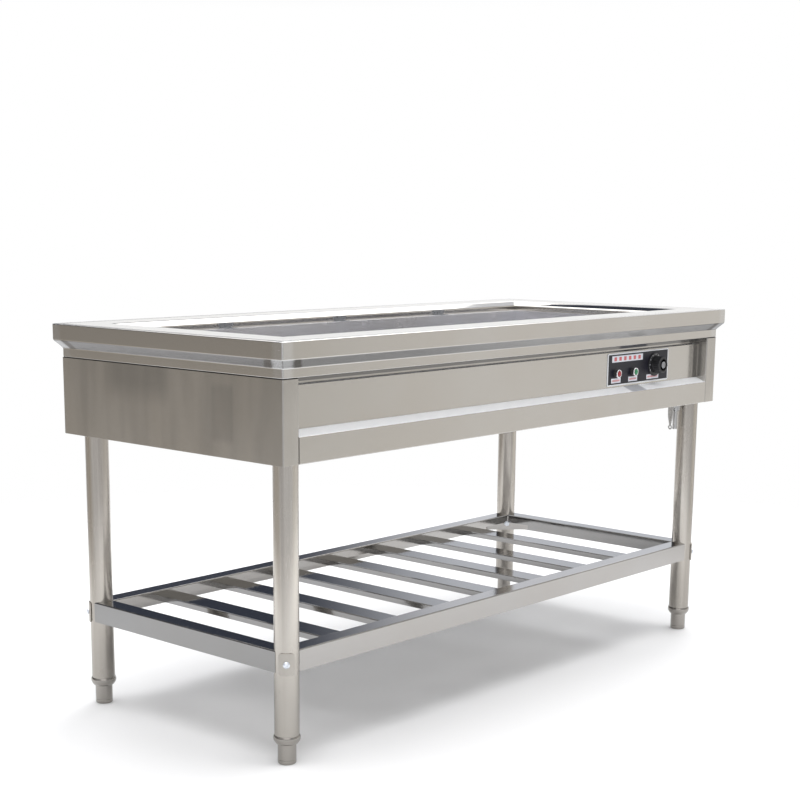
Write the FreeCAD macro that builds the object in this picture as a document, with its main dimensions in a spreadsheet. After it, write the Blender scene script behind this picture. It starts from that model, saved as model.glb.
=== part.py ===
import FreeCAD, Part
import Sketcher
import math
import os

# Heated serving counter: a welded top rim with a heated basin, a folded sheet body with a
# control plate, four tube legs with levelling feet, and a slatted shelf between the legs.
# All sizes are in millimetres. X runs along the counter, the front looks to -Y, Z is up,
# and the origin lies on the floor under the middle of the counter.

SIZES = (
    ("overall_length", 1600, "rim, end to end"),
    ("overall_width", 710, "rim, front to back"),
    ("overall_height", 850, "floor to rim"),
    ("rim_gauge", 1.5, "sheet of the rim"),
    ("rim_flange", 92, "flat top of the rim"),
    ("rim_slope", 12, "run and drop of the slope inside the flat top"),
    ("rim_lip", 12, "upright lip under the slope"),
    ("rim_face", 35, "upright outer face"),
    ("rim_bevel_drop", 17, "drop of the bevel under the face"),
    ("rim_bevel_run", 15, "inward run of the bevel"),
    ("rim_skirt", 20, "upright band under the bevel"),
    ("rim_return", 15, "inward return under the band"),
    ("ledge_width", 25, "ledge between lip and basin wall"),
    ("ledge_lap", 5, "part of the ledge that lies under the rim"),
    ("basin_gauge", 1.2, "sheet of the basin"),
    ("basin_depth", 161, "ledge to basin floor"),
    ("body_gauge", 1.2, "sheet of the body"),
    ("body_height", 166, "body bottom to rim skirt"),
    ("post_width", 43, "front face of each corner post"),
    ("recess_depth", 27, "front panel behind the post faces"),
    ("reveal_depth", 13, "groove over the front panel, behind the panel"),
    ("reveal_height", 16, "height of that groove"),
    ("lower_rail_height", 53, "front face of the lower rail"),
    ("sill_rise", 11, "rise of the sloping sill over the lower rail"),
    ("flange_overhang", 3.5, "bottom flange of each side panel, beyond the leg tube"),
    ("return_width", 20, "small folded returns"),
    ("return_gap", 1, "return of the lower rail to the leg socket"),
    ("floor_end_gap", 55, "body side to the floor panel"),
    ("insulation_thickness", 20, "board under the basin"),
    ("leg_end_inset", 65, "rim end to leg axis"),
    ("leg_side_inset", 60, "rim side to leg axis"),
    ("leg_diameter", 51, "leg tube"),
    ("leg_wall", 1.5, "wall of the leg tube"),
    ("plug_gap", 0.3, "plug and spigot inside the tube, saddle outside it"),
    ("spigot_length", 60, "socket spigot inside the leg top"),
    ("socket_overhang", 2.5, "square socket plate, beyond the tube"),
    ("foot_diameter", 38, "levelling foot"),
    ("foot_height", 42, "floor to collar"),
    ("foot_hidden", 53, "part of the foot inside the collar and leg"),
    ("foot_clearance", 0.05, "foot in its collar bore"),
    ("collar_overhang", 2.5, "ring under each leg, beyond the tube"),
    ("collar_height", 18, "height of that ring"),
    ("plug_length", 40, "collar plug inside the tube"),
    ("shelf_end_inset", 40, "rim end to shelf end rail"),
    ("shelf_side_inset", 39.5, "rim side to shelf long rail"),
    ("shelf_top", 236.5, "floor to shelf rails"),
    ("shelf_gauge", 1.5, "sheet of the shelf rails"),
    ("shelf_wall", 45, "outer wall of the rails"),
    ("shelf_flange", 42, "top flange of the rails"),
    ("shelf_lip", 21.5, "inner lip of the rails"),
    ("shelf_end_gap", 3.5, "rail end to the leg tube"),
    ("slat_width", 60, "shelf slat"),
    ("slat_side", 13.5, "folded side of a slat"),
    ("slat_gauge", 1.2, "sheet of the slats"),
    ("slat_left_gap", 157, "flange of the left rail to the first slat"),
    ("slat_right_gap", 127, "last slat to the flange of the right rail"),
    ("gusset_gauge", 2.5, "corner gusset of the shelf"),
    ("gusset_height", 40, "height of the gusset"),
    ("gusset_tab", 24, "welded tab of the gusset"),
    ("bolt_height", 211.5, "floor to the leg bolts"),
    ("bolt_diameter", 8, "leg bolt"),
    ("bolt_head", 14, "round head of the leg bolt"),
    ("bolt_socket", 5, "hexagon socket in that head"),
    ("nut_flats", 13, "spanner size of the leg nut"),
    ("saddle_width", 35, "curved plate under each bolt head"),
    ("saddle_height", 45, "height of that plate"),
    ("saddle_gauge", 2.5, "thickness of that plate"),
    ("plate_width", 269, "control plate"),
    ("plate_height", 79, "height of the control plate"),
    ("plate_end_inset", 202, "rim end to control plate"),
    ("plate_top_drop", 91, "top of the counter to the top of the control plate"),
    ("plate_gauge", 1.5, "thickness of the control plate"),
    ("red_lamp_step", 35, "left edge of the plate to the red lamp"),
    ("green_lamp_step", 108, "left edge of the plate to the green lamp"),
    ("knob_step", 206, "left edge of the plate to the knob"),
    ("lamp_drop", 49, "top of the plate to the lamps"),
    ("knob_drop", 37.5, "top of the plate to the knob"),
    ("knob_skirt_diameter", 58, "skirt of the knob"),
    ("knob_diameter", 42, "grip of the knob"),
    ("knob_height", 26, "whole knob"),
    ("cap_diameter", 17, "metal cap on the knob"),
    ("shaft_diameter", 6, "thermostat and valve shafts"),
    ("running_clearance", 0.05, "gap around a turning shaft"),
    ("bezel_diameter", 21, "lamp bezel"),
    ("bezel_gauge", 4, "depth of the lamp bezel"),
    ("lamp_reach", 12, "plate to the front of the lamp bezel"),
    ("lens_diameter", 13, "lamp lens"),
    ("bracket_width", 50, "pan divider bracket on the lip"),
    ("bracket_pitch", 378.5, "between the brackets"),
    ("bracket_shift", -13, "middle bracket to the middle of the counter"),
    ("heater_diameter", 8.5, "heating rod"),
    ("heater_inner", 75, "middle of the basin to the inner run of each heater"),
    ("heater_edge_gap", 31, "guard skirt to the outer run of each heater"),
    ("heater_end_gap", 60, "basin end wall to the loop of each heater"),
    ("heater_tail", 24, "rod ends beyond the basin wall"),
    ("heater_rise", 25, "basin floor to the rod axes"),
    ("guard_rise", 50, "basin floor to the top of the guard"),
    ("guard_gutter", 50, "basin wall to the guard skirt"),
    ("guard_hole", 16, "perforations of the guard"),
    ("drain_end_step", 31, "basin end wall to the drain axis"),
    ("drain_front_step", 26, "basin front wall to the drain axis"),
    ("drain_pipe_diameter", 20, "pipe from the basin to the valve"),
    ("valve_drop", 8, "body bottom to the axis of the valve's handle"),
    ("valve_rise", 14, "top of the valve body over that axis"),
    ("valve_tail", 12, "valve body below that axis"),
    ("valve_gap", 19.5, "leg tube to the axis of the valve"),
    ("valve_setback", 9, "leg axis to the axis of the valve, towards the rear"),
    ("valve_diameter", 26, "valve body"),
    ("ball_diameter", 16, "ball inside the valve"),
    ("valve_bore", 9, "way through the ball and the spout"),
    ("spout_diameter", 12, "drain spout"),
    ("lever_width", 15, "drain lever"),
    ("lever_reach", 55.5, "lever axis to the middle of its end ring"),
    ("lever_gauge", 3, "thickness of the lever"),
    ("spout_drop", 70, "body bottom to the mouth of the spout"),
    ("bulb_end_inset", 278, "rim end to the thermostat capillary"),
    ("bulb_rise", 47, "basin floor to the sensing bulb"),
    ("bulb_length", 90, "sensing bulb"),
    ("bulb_wall_gap", 14, "basin front wall to the axis of the bulb"),
    ("thermostat_width", 45, "thermostat body"),
    ("thermostat_height", 35, "height of the thermostat body"),
    ("thermostat_depth", 30, "depth of the thermostat body"),
    ("lead_gap", 5.8, "thermostat to the leads behind it"),
    ("block_end_inset", 225, "rim end to the far side of the terminal block"),
    ("block_width", 50, "terminal block"),
    ("block_depth", 22, "terminal block, front to back"),
    ("block_height", 20, "height of the terminal block"),
    ("gland_end_inset", 200, "rim end to the cable gland"),
    ("gland_rise", 14, "body floor to the cable gland"),
    ("gland_bore", 8, "way through the cable gland"),
)

doc = FreeCAD.newDocument("HeatedServingCounter")
sheet = doc.addObject("Spreadsheet::Sheet", "Sizes")
for row, (alias, value, note) in enumerate(SIZES, start=1):
    sheet.set(f"A{row}", alias)
    sheet.set(f"B{row}", str(value))
    sheet.set(f"C{row}", note)
    sheet.setAlias(f"B{row}", alias)
doc.recompute()


class Length:
    """A number together with the sheet expression that gives it."""

    def __init__(self, value, text):
        self.value = float(value)
        self.text = text

    def combined(self, symbol, other, value):
        return Length(value, f"({self.text} {symbol} {other.text})")

    def __add__(self, other):
        other = length(other)
        return self.combined("+", other, self.value + other.value)

    def __sub__(self, other):
        other = length(other)
        return self.combined("-", other, self.value - other.value)

    def __mul__(self, other):
        other = length(other)
        return self.combined("*", other, self.value * other.value)

    def __truediv__(self, other):
        other = length(other)
        return self.combined("/", other, self.value / other.value)

    def __neg__(self):
        return self * -1

    def __rsub__(self, other):
        return length(other) - self

    __radd__ = __add__
    __rmul__ = __mul__


def length(number):
    if isinstance(number, Length):
        return number
    return Length(number, f"({float(number):.9f})")


def size(alias):
    return Length(sheet.get(alias), f"Sizes.{alias}")


def bind(item, setting, value):
    item.setExpression(setting, length(value).text)


def place(item, x=0, y=0, z=0):
    bind(item, "Placement.Base.x", x)
    bind(item, "Placement.Base.y", y)
    bind(item, "Placement.Base.z", z)
    return item


# Bodies made from sketches

def new_body(label):
    body = doc.addObject("PartDesign::Body", label)
    body.Label = label
    return body


def new_sketch(body, plane, offset=0):
    sketch = body.newObject("Sketcher::SketchObject", "Outline")
    support = next(item for item in body.Origin.OriginFeatures if item.Role == f"{plane}_Plane")
    sketch.AttachmentSupport = [(support, "")]
    sketch.MapMode = "FlatFace"
    bind(sketch, "AttachmentOffset.Base.z", offset)
    return sketch


def pin_point(sketch, geometry, position, point):
    """Holds one point of a sketch at two sheet sizes from the sketch origin."""
    for kind, coordinate in zip(("DistanceX", "DistanceY"), point):
        coordinate = length(coordinate)
        rule = Sketcher.Constraint(kind, -1, 1, geometry, position, coordinate.value)
        index = sketch.addConstraint(rule)
        sketch.renameConstraint(index, f"{kind}_{index}")
        bind(sketch, f"Constraints.{kind}_{index}", coordinate)


def draw_polygon(sketch, points):
    first = sketch.GeometryCount
    corners = [FreeCAD.Vector(length(x).value, length(y).value, 0) for x, y in points]
    count = len(corners)
    for step in range(count):
        sketch.addGeometry(Part.LineSegment(corners[step], corners[(step + 1) % count]), False)
    for step, point in enumerate(points):
        following = first + (step + 1) % count
        sketch.addConstraint(Sketcher.Constraint("Coincident", first + step, 2, following, 1))
        pin_point(sketch, first + step, 1, point)


def draw_circle(sketch, centre, radius):
    radius = length(radius)
    middle = FreeCAD.Vector(length(centre[0]).value, length(centre[1]).value, 0)
    circle = Part.Circle(middle, FreeCAD.Vector(0, 0, 1), radius.value)
    geometry = sketch.addGeometry(circle, False)
    pin_point(sketch, geometry, 3, centre)
    index = sketch.addConstraint(Sketcher.Constraint("Radius", geometry, radius.value))
    sketch.renameConstraint(index, f"Radius_{index}")
    bind(sketch, f"Constraints.Radius_{index}", radius)


def extrude(body, plane, start, stop, polygons=(), circles=(), cut=False):
    """Adds or cuts a prism between two stations on the axis square to the plane."""
    backwards = plane == "XZ"
    station = start if cut == backwards else stop
    sketch = new_sketch(body, plane, -length(station) if backwards else station)
    for points in polygons:
        draw_polygon(sketch, points)
    for centre, radius in circles:
        draw_circle(sketch, centre, radius)
    feature = body.newObject("PartDesign::Pocket" if cut else "PartDesign::Pad", "Prism")
    feature.Profile = sketch
    bind(feature, "Length", length(stop) - start)
    sketch.Visibility = False
    body.Tip = feature
    return feature


def revolve(body, plane, axis, points):
    """Turns an outline about one axis of its own sketch."""
    sketch = new_sketch(body, plane)
    draw_polygon(sketch, points)
    feature = body.newObject("PartDesign::Revolution", "Turned")
    feature.Profile = sketch
    feature.ReferenceAxis = (sketch, [axis])
    sketch.Visibility = False
    body.Tip = feature
    return feature


def rectangle(left, right, low, high):
    return [(left, low), (right, low), (right, high), (left, high)]


def folded_sheet(points, gauge, side):
    """Closed outline of a folded sheet whose one face follows the points."""
    normals = []
    for (x1, y1), (x2, y2) in zip(points, points[1:]):
        run = length(x2).value - length(x1).value
        rise = length(y2).value - length(y1).value
        reach = math.hypot(run, rise)
        normals.append((-rise / reach * side, run / reach * side))
    other_face = []
    for step, (x, y) in enumerate(points):
        before = normals[max(step - 1, 0)]
        after = normals[min(step, len(normals) - 1)]
        mitre = 1 + before[0] * after[0] + before[1] * after[1]
        shift_x = (before[0] + after[0]) / mitre
        shift_y = (before[1] + after[1]) / mitre
        other_face.append((gauge * shift_x + x, gauge * shift_y + y))
    return points + other_face[::-1]


# Pieces made from primitives

def cylinder(radius, height, base, direction=(0, 0, 1)):
    item = doc.addObject("Part::Cylinder", "Cylinder")
    bind(item, "Radius", radius)
    bind(item, "Height", height)
    turn = FreeCAD.Rotation(FreeCAD.Vector(0, 0, 1), FreeCAD.Vector(*direction))
    item.Placement = FreeCAD.Placement(FreeCAD.Vector(), turn)
    return place(item, *base)


def hexagon(flats, height, base, direction):
    item = doc.addObject("Part::Prism", "Hexagon")
    item.Polygon = 6
    bind(item, "Circumradius", length(flats) / (2 * math.cos(math.radians(30))))
    bind(item, "Height", height)
    turn = FreeCAD.Rotation(FreeCAD.Vector(0, 0, 1), FreeCAD.Vector(*direction))
    item.Placement = FreeCAD.Placement(FreeCAD.Vector(), turn)
    return place(item, *base)


def cone(base_radius, top_radius, height, base, direction):
    item = doc.addObject("Part::Cone", "Cone")
    bind(item, "Radius1", base_radius)
    bind(item, "Radius2", top_radius)
    bind(item, "Height", height)
    turn = FreeCAD.Rotation(FreeCAD.Vector(0, 0, 1), FreeCAD.Vector(*direction))
    item.Placement = FreeCAD.Placement(FreeCAD.Vector(), turn)
    return place(item, *base)


def sphere(radius, centre):
    item = doc.addObject("Part::Sphere", "Sphere")
    bind(item, "Radius", radius)
    return place(item, *centre)


def fused(pieces):
    item = doc.addObject("Part::MultiFuse", "Fused")
    item.Shapes = pieces
    return item


def trimmed(piece, tools):
    for tool in tools:
        item = doc.addObject("Part::Cut", "Trimmed")
        item.Base = piece
        item.Tool = tool
        piece = item
    return piece


def group(label, pieces):
    item = doc.addObject("Part::Compound", label)
    item.Links = pieces
    item.Label = label
    return item


def run_wire(points, bend):
    """Straight runs through the points, joined by tangent arcs of one radius."""
    corners = [FreeCAD.Vector(*(length(value).value for value in point)) for point in points]
    edges = []
    start = corners[0]
    for before, corner, after in zip(corners, corners[1:], corners[2:]):
        incoming = (corner - before).normalize()
        outgoing = (after - corner).normalize()
        turn = incoming.getAngle(outgoing)
        setback = bend * math.tan(turn / 2)
        entry = corner - incoming * setback
        leave = corner + outgoing * setback
        towards_centre = (outgoing - incoming).normalize()
        middle = corner + towards_centre * (bend / math.cos(turn / 2) - bend)
        if (entry - start).Length > 1e-6:
            edges.append(Part.LineSegment(start, entry).toShape())
        edges.append(Part.Arc(entry, middle, leave).toShape())
        start = leave
    edges.append(Part.LineSegment(start, corners[-1]).toShape())
    return Part.Wire(edges)


def swept_run(points, radius, bend):
    """Round bar or cable along straight runs and arcs, which no sketch plane can hold."""
    path = run_wire(points, bend)
    start = path.Edges[0].Vertexes[0].Point
    heading = path.Edges[0].tangentAt(path.Edges[0].FirstParameter)
    ring = Part.Wire([Part.Circle(start, heading, length(radius).value).toShape()])
    return path.makePipeShell([ring], True, False)


def shaped(label, shape):
    item = doc.addObject("Part::Feature", label)
    item.Shape = shape
    item.Label = label
    return item


nodes = []


def keep(item, label=None):
    """Marks an object as a finished sub-part."""
    if label:
        item.Label = label
    nodes.append(item)
    return item


# Planes that several sub-parts share

half_length = size("overall_length") / 2
half_width = size("overall_width") / 2
top = size("overall_height")

lip_step = size("rim_flange") + size("rim_slope")
ledge_top = top - size("rim_slope") - size("rim_lip")
bevel_bottom = top - size("rim_face") - size("rim_bevel_drop")
skirt_bottom = bevel_bottom - size("rim_skirt")
lip_x = half_length - lip_step
lip_y = half_width - lip_step

basin_x = lip_x - size("ledge_width")
basin_y = lip_y - size("ledge_width")
basin_wall = size("basin_gauge")
basin_floor = ledge_top - size("basin_depth")
basin_under = basin_floor - size("basin_gauge")

gauge = size("body_gauge")
body_x = half_length - size("rim_bevel_run")
body_y = half_width - size("rim_bevel_run")
body_bottom = skirt_bottom - size("body_height")
flange_top = body_bottom + gauge
post_x = body_x - size("post_width")
panel_y = body_y - size("recess_depth")
panel_back = panel_y - gauge
sill_low = body_bottom + size("lower_rail_height")
sill_high = sill_low + size("sill_rise")
reveal_low = skirt_bottom - size("reveal_height")
reveal_y = panel_y - size("reveal_depth")
floor_panel_top = flange_top + gauge

leg_x = half_length - size("leg_end_inset")
leg_y = half_width - size("leg_side_inset")
leg_radius = size("leg_diameter") / 2
leg_inner = leg_radius - size("leg_wall")
plug_radius = leg_inner - size("plug_gap")
leg_low = size("foot_height") + size("collar_height")
socket_half = leg_radius + size("socket_overhang")
flange_edge = leg_x - leg_radius - size("flange_overhang")
rail_return = body_y - leg_y - leg_inner - size("return_gap")

CORNERS = (
    ("front_left", -1, -1),
    ("front_right", 1, -1),
    ("rear_left", -1, 1),
    ("rear_right", 1, 1),
)


# Top rim and basin

def make_top_rim():
    body = new_body("top_rim")
    path = new_sketch(body, "XY")
    draw_polygon(path, [
        (-half_length, 0),
        (-half_length, half_width),
        (half_length, half_width),
        (half_length, -half_width),
        (-half_length, -half_width),
    ])
    section = new_sketch(body, "XZ")
    flange = size("rim_flange")
    bevel = size("rim_bevel_run")
    outer = -half_length
    draw_polygon(section, folded_sheet([
        (outer + lip_step, ledge_top),
        (outer + lip_step, top - size("rim_slope")),
        (outer + flange, top),
        (outer, top),
        (outer, top - size("rim_face")),
        (outer + bevel, bevel_bottom),
        (outer + bevel, skirt_bottom),
        (outer + bevel + size("rim_return"), skirt_bottom),
    ], size("rim_gauge"), 1))
    pipe = body.newObject("PartDesign::AdditivePipe", "Rim")
    pipe.Profile = section
    pipe.Spine = (path, [f"Edge{number}" for number in range(1, 6)])
    pipe.Transition = "Right corner"
    path.Visibility = False
    section.Visibility = False
    body.Tip = pipe
    keep(body)


heater_height = basin_floor + size("heater_rise")
drain_x = basin_x - size("drain_end_step")
drain_y = -basin_y + size("drain_front_step")
tail_radius = size("drain_pipe_diameter") / 2 + 3.2
rod_radius = size("heater_diameter") / 2
rod_hole = rod_radius + 0.3
rod_end = basin_x + basin_wall + size("heater_tail")
capillary_hole = 2
bulb_x = half_length - size("bulb_end_inset")
bulb_height = basin_floor + size("bulb_rise")
guard_y = basin_y - size("guard_gutter")
heater_outer = guard_y - size("heater_edge_gap")
half_loop = (heater_outer - size("heater_inner")) / 2
heater_y = (heater_outer + size("heater_inner")) / 2


def heater_runs():
    """Y positions of the four straight rods."""
    return [heater_y * side + half_loop * run for side in (-1, 1) for run in (-1, 1)]


def make_basin():
    """Upright walls of the basin with the ledge that is welded under the rim."""
    body = new_body("basin")
    outside_x = basin_x + basin_wall
    outside_y = basin_y + basin_wall
    ledge_x = lip_x + size("ledge_lap")
    ledge_y = lip_y + size("ledge_lap")
    ledge_under = ledge_top - size("rim_gauge")
    inside = rectangle(-basin_x, basin_x, -basin_y, basin_y)
    extrude(body, "XY", basin_under, ledge_top,
            [rectangle(-outside_x, outside_x, -outside_y, outside_y), inside])
    extrude(body, "XY", ledge_under, ledge_top,
            [rectangle(-ledge_x, ledge_x, -ledge_y, ledge_y), inside])
    extrude(body, "YZ", basin_x, outside_x,
            circles=[((y, heater_height), rod_hole) for y in heater_runs()], cut=True)
    extrude(body, "XZ", -outside_y, -basin_y,
            circles=[((bulb_x, bulb_height), capillary_hole)], cut=True)
    keep(body)


def make_basin_floor():
    """Floor plate welded between the basin walls, with the drain hole."""
    body = new_body("basin_floor")
    extrude(body, "XY", basin_under, basin_floor,
            [rectangle(-basin_x, basin_x, -basin_y, basin_y)])
    extrude(body, "XY", basin_under, basin_floor,
            circles=[((drain_x, drain_y), tail_radius + 0.3)], cut=True)
    keep(body)


def make_divider_brackets():
    """Bent brackets on both long lips that carry the ends of the pan divider bars."""
    sheet_thickness = size("rim_gauge")
    half_top = size("bracket_width") / 2
    half_low = half_top - 8
    foot_depth = 20
    half_slot = 5
    slot_start = 4
    slot_end = 12
    pieces = []
    for side in (-1, 1):
        for step in (-1, 0, 1):
            middle = size("bracket_shift") + size("bracket_pitch") * step
            bracket = new_body("divider_bracket")
            face = lip_y * side
            stations = sorted((face, face - sheet_thickness * side), key=lambda item: item.value)
            extrude(bracket, "XZ", *stations, [[
                (middle - half_low, ledge_top),
                (middle + half_low, ledge_top),
                (middle + half_top, ledge_top + size("rim_lip")),
                (middle - half_top, ledge_top + size("rim_lip")),
            ]])
            inner = face - side * foot_depth
            slot_inner = inner + side * slot_start
            slot_outer = inner + side * slot_end
            extrude(bracket, "XY", ledge_top, ledge_top + sheet_thickness,
                    [rectangle(middle - half_low, middle + half_low, inner, face)])
            slot = rectangle(middle - half_slot, middle + half_slot, slot_inner, slot_outer)
            extrude(bracket, "XY", ledge_top, ledge_top + sheet_thickness, [slot], cut=True)
            pieces.append(bracket)
    keep(group("pan_divider_brackets", pieces))


# Body

SCREW_RADIUS = 2
SCREW_HOLE = 2.3
side_screw_x = body_x - 10
side_screw_heights = [body_bottom + size("body_height") * share for share in (0.2, 0.5, 0.8)]
floor_screw_height = body_bottom + 14
floor_screw_spots = [half_length * share for share in (-0.7, -0.35, 0, 0.35, 0.7)]


def make_side_panel(label, side):
    body = new_body(label)
    outer = body_x * side
    inner = (body_x - size("return_width")) * side
    front = -body_y
    extrude(body, "XY", body_bottom, skirt_bottom, [folded_sheet([
        (post_x * side, front),
        (outer, front),
        (outer, body_y),
        (inner, body_y),
    ], gauge, side)])
    extrude(body, "XY", sill_low - 10, skirt_bottom, [rectangle(
        post_x * side,
        (post_x + gauge) * side,
        front,
        -reveal_y + gauge,
    )])
    extrude(body, "XY", skirt_bottom - gauge, skirt_bottom, [rectangle(
        (body_x - size("rim_return")) * side,
        outer,
        front,
        body_y,
    )])
    notch = -body_y + rail_return
    extrude(body, "XY", body_bottom, flange_top, [[
        (outer, front),
        (outer, body_y),
        (flange_edge * side, body_y),
        (flange_edge * side, notch),
        (post_x * side, notch),
        (post_x * side, front),
    ]])
    extrude(body, "XY", body_bottom, flange_top,
            circles=[((leg_x * side, leg_y * end), leg_inner) for end in (-1, 1)], cut=True)
    extrude(body, "XZ", body_y - gauge, body_y,
            circles=[((side_screw_x * side, z), SCREW_HOLE) for z in side_screw_heights],
            cut=True)
    keep(body)


plate_left = half_length - size("plate_end_inset") - size("plate_width")
plate_top = top - size("plate_top_drop")
plate_face = -panel_y - size("plate_gauge")
red_lamp_x = plate_left + size("red_lamp_step")
green_lamp_x = plate_left + size("green_lamp_step")
lamp_z = plate_top - size("lamp_drop")
knob_x = plate_left + size("knob_step")
knob_z = plate_top - size("knob_drop")
lamp_body_radius = size("lens_diameter") / 2 + 0.3
shaft_radius = size("shaft_diameter") / 2


def control_holes():
    lamp_hole = lamp_body_radius + 0.3
    return [
        ((red_lamp_x, lamp_z), lamp_hole),
        ((green_lamp_x, lamp_z), lamp_hole),
        ((knob_x, knob_z), shaft_radius + 2),
    ]


def make_front_panel():
    body = new_body("front_panel")
    ceiling = skirt_bottom - gauge
    extrude(body, "YZ", -post_x, post_x, [folded_sheet([
        (-body_y + size("rim_return") - 5, ceiling),
        (-reveal_y, ceiling),
        (-reveal_y, reveal_low),
        (-panel_y, reveal_low),
        (-panel_y, sill_high + 0.3),
    ], gauge, 1)])
    extrude(body, "XZ", -panel_y, -panel_back, circles=control_holes(), cut=True)
    keep(body)


def make_lower_rail():
    body = new_body("front_lower_rail")
    front = -body_y
    extrude(body, "YZ", -post_x, post_x, [folded_sheet([
        (front + rail_return, body_bottom),
        (front, body_bottom),
        (front, sill_low),
        (-panel_back, sill_high),
        (-panel_back, sill_high + size("return_width") * 0.7),
    ], gauge, -1)])
    keep(body)


def make_back_panel():
    body = new_body("back_panel")
    edge = body_x - 1
    lap = body_x - size("return_width")
    extrude(body, "XZ", body_y, body_y + gauge,
            [rectangle(-edge, edge, body_bottom + 0.5, skirt_bottom)])
    extrude(body, "XY", skirt_bottom - gauge, skirt_bottom,
            [rectangle(-lap, lap, body_y - size("return_width"), body_y + gauge)])
    holes = [
        ((side_screw_x * side, z), SCREW_HOLE)
        for side in (-1, 1)
        for z in side_screw_heights
    ]
    holes += [((x, floor_screw_height), SCREW_HOLE) for x in floor_screw_spots]
    holes.append(((gland_x, gland_z), gland_thread + 0.3))
    extrude(body, "XZ", body_y, body_y + gauge, circles=holes, cut=True)
    keep(body)


def make_bottom_panel():
    """Floor of the body, resting on the side flanges and on the lower rail."""
    body = new_body("bottom_panel")
    edge_x = body_x - size("floor_end_gap")
    front = -body_y + 5
    rear = body_y
    notch_x = leg_x - socket_half - 3
    notch_y = leg_y - socket_half - 3
    valve_notch_x = lever_far - 6
    extrude(body, "XY", flange_top, floor_panel_top, [[
        (-notch_x, front),
        (valve_notch_x, front),
        (valve_notch_x, -notch_y),
        (edge_x, -notch_y),
        (edge_x, notch_y),
        (notch_x, notch_y),
        (notch_x, rear),
        (-notch_x, rear),
        (-notch_x, notch_y),
        (-edge_x, notch_y),
        (-edge_x, -notch_y),
        (-notch_x, -notch_y),
    ]])
    extrude(body, "XZ", rear - gauge, rear,
            [rectangle(-notch_x, notch_x, flange_top, flange_top + size("return_width"))])
    extrude(body, "XZ", rear - gauge, rear,
            circles=[((x, floor_screw_height), SCREW_HOLE) for x in floor_screw_spots], cut=True)
    extrude(body, "XZ", rear - gauge, rear,
            circles=[((gland_x, gland_z), gland_thread + 4.3)], cut=True)
    keep(body)


def make_insulation():
    body = new_body("insulation_board")
    edge_x = basin_x - 1
    edge_y = basin_y - 1
    low = basin_under - size("insulation_thickness")
    notch = 30
    extrude(body, "XY", low, basin_under, [[
        (-edge_x, -edge_y),
        (drain_x - notch, -edge_y),
        (drain_x - notch, drain_y + notch),
        (edge_x, drain_y + notch),
        (edge_x, edge_y),
        (-edge_x, edge_y),
    ]])
    keep(body)


def make_panel_screws():
    """Screws that hold the back panel to the side panels and to the body floor."""
    shank = 9
    head_radius = 3.6
    head_height = 2.4
    pieces = []
    spots = [(side_screw_x * side, z) for side in (-1, 1) for z in side_screw_heights]
    spots += [(x, floor_screw_height) for x in floor_screw_spots]
    outside = body_y + gauge
    for x, z in spots:
        screw = new_body("panel_screw")
        revolve(screw, "YZ", "H_Axis", [
            (outside - shank, 0),
            (outside - shank, SCREW_RADIUS),
            (outside, SCREW_RADIUS),
            (outside, head_radius),
            (outside + head_height / 2, head_radius),
            (outside + head_height, head_radius * 0.6),
            (outside + head_height, 0),
        ])
        pieces.append(place(screw, x, 0, z))
    keep(group("panel_screws", pieces))


# Legs and feet

def diagonal_point(x, y, side, end, reach):
    """Point at a distance from a leg axis on the diagonal that leads away from the middle."""
    step = length(reach) * math.sqrt(0.5)
    return x + step * side, y + step * end


def make_leg(corner, side, end):
    x = leg_x * side
    y = leg_y * end
    tube_height = body_bottom - leg_low
    outer = cylinder(leg_radius, tube_height, (x, y, leg_low))
    bore = cylinder(leg_inner, tube_height, (x, y, leg_low))
    start = diagonal_point(x, y, side, end, -(leg_radius + 5))
    bolt_hole = cylinder(
        size("bolt_diameter") / 2 + 0.5,
        size("leg_diameter") + 10,
        (*start, size("bolt_height")),
        (side, end, 0),
    )
    keep(trimmed(outer, [bore, bolt_hole]), f"leg_{corner}")


def make_leg_sockets():
    pieces = []
    for corner, side, end in CORNERS:
        socket = new_body("leg_socket")
        x = leg_x * side
        y = leg_y * end
        extrude(socket, "XY", flange_top, flange_top + 3, [rectangle(
            x - socket_half,
            x + socket_half,
            y - socket_half,
            y + socket_half,
        )])
        extrude(socket, "XY", body_bottom - size("spigot_length"), flange_top,
                circles=[((x, y), plug_radius)])
        extrude(socket, "XY", body_bottom - size("spigot_length"), flange_top,
                circles=[((x, y), plug_radius - 3)], cut=True)
        pieces.append(socket)
    keep(group("leg_sockets", pieces))


def make_leg_collars():
    bore = size("foot_diameter") / 2 + size("foot_clearance")
    ring = leg_radius + size("collar_overhang")
    low = size("foot_height")
    taper = 2
    pieces = []
    for corner, side, end in CORNERS:
        collar = new_body("leg_collar")
        revolve(collar, "XZ", "V_Axis", [
            (bore, low),
            (ring - taper, low),
            (ring, low + taper),
            (ring, leg_low - taper),
            (ring - taper / 2, leg_low),
            (plug_radius, leg_low),
            (plug_radius, leg_low + size("plug_length") - taper),
            (plug_radius - taper, leg_low + size("plug_length")),
            (bore, leg_low + size("plug_length")),
        ])
        pieces.append(place(collar, leg_x * side, leg_y * end))
    keep(group("leg_collars", pieces))


def make_foot(corner, side, end):
    radius = size("foot_diameter") / 2
    height = size("foot_height") + size("foot_hidden")
    chamfer = 1.5
    body = new_body(f"foot_{corner}")
    revolve(body, "XZ", "V_Axis", [
        (0, 0),
        (radius - chamfer, 0),
        (radius, chamfer),
        (radius, height - chamfer),
        (radius - chamfer, height),
        (0, height),
    ])
    keep(place(body, leg_x * side, leg_y * end))


# Shelf

shelf_x = half_length - size("shelf_end_inset")
shelf_y = half_width - size("shelf_side_inset")
shelf_low = size("shelf_top") - size("shelf_wall")
slat_top = size("shelf_top") - size("shelf_lip")
SLAT_COUNT = 7


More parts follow.
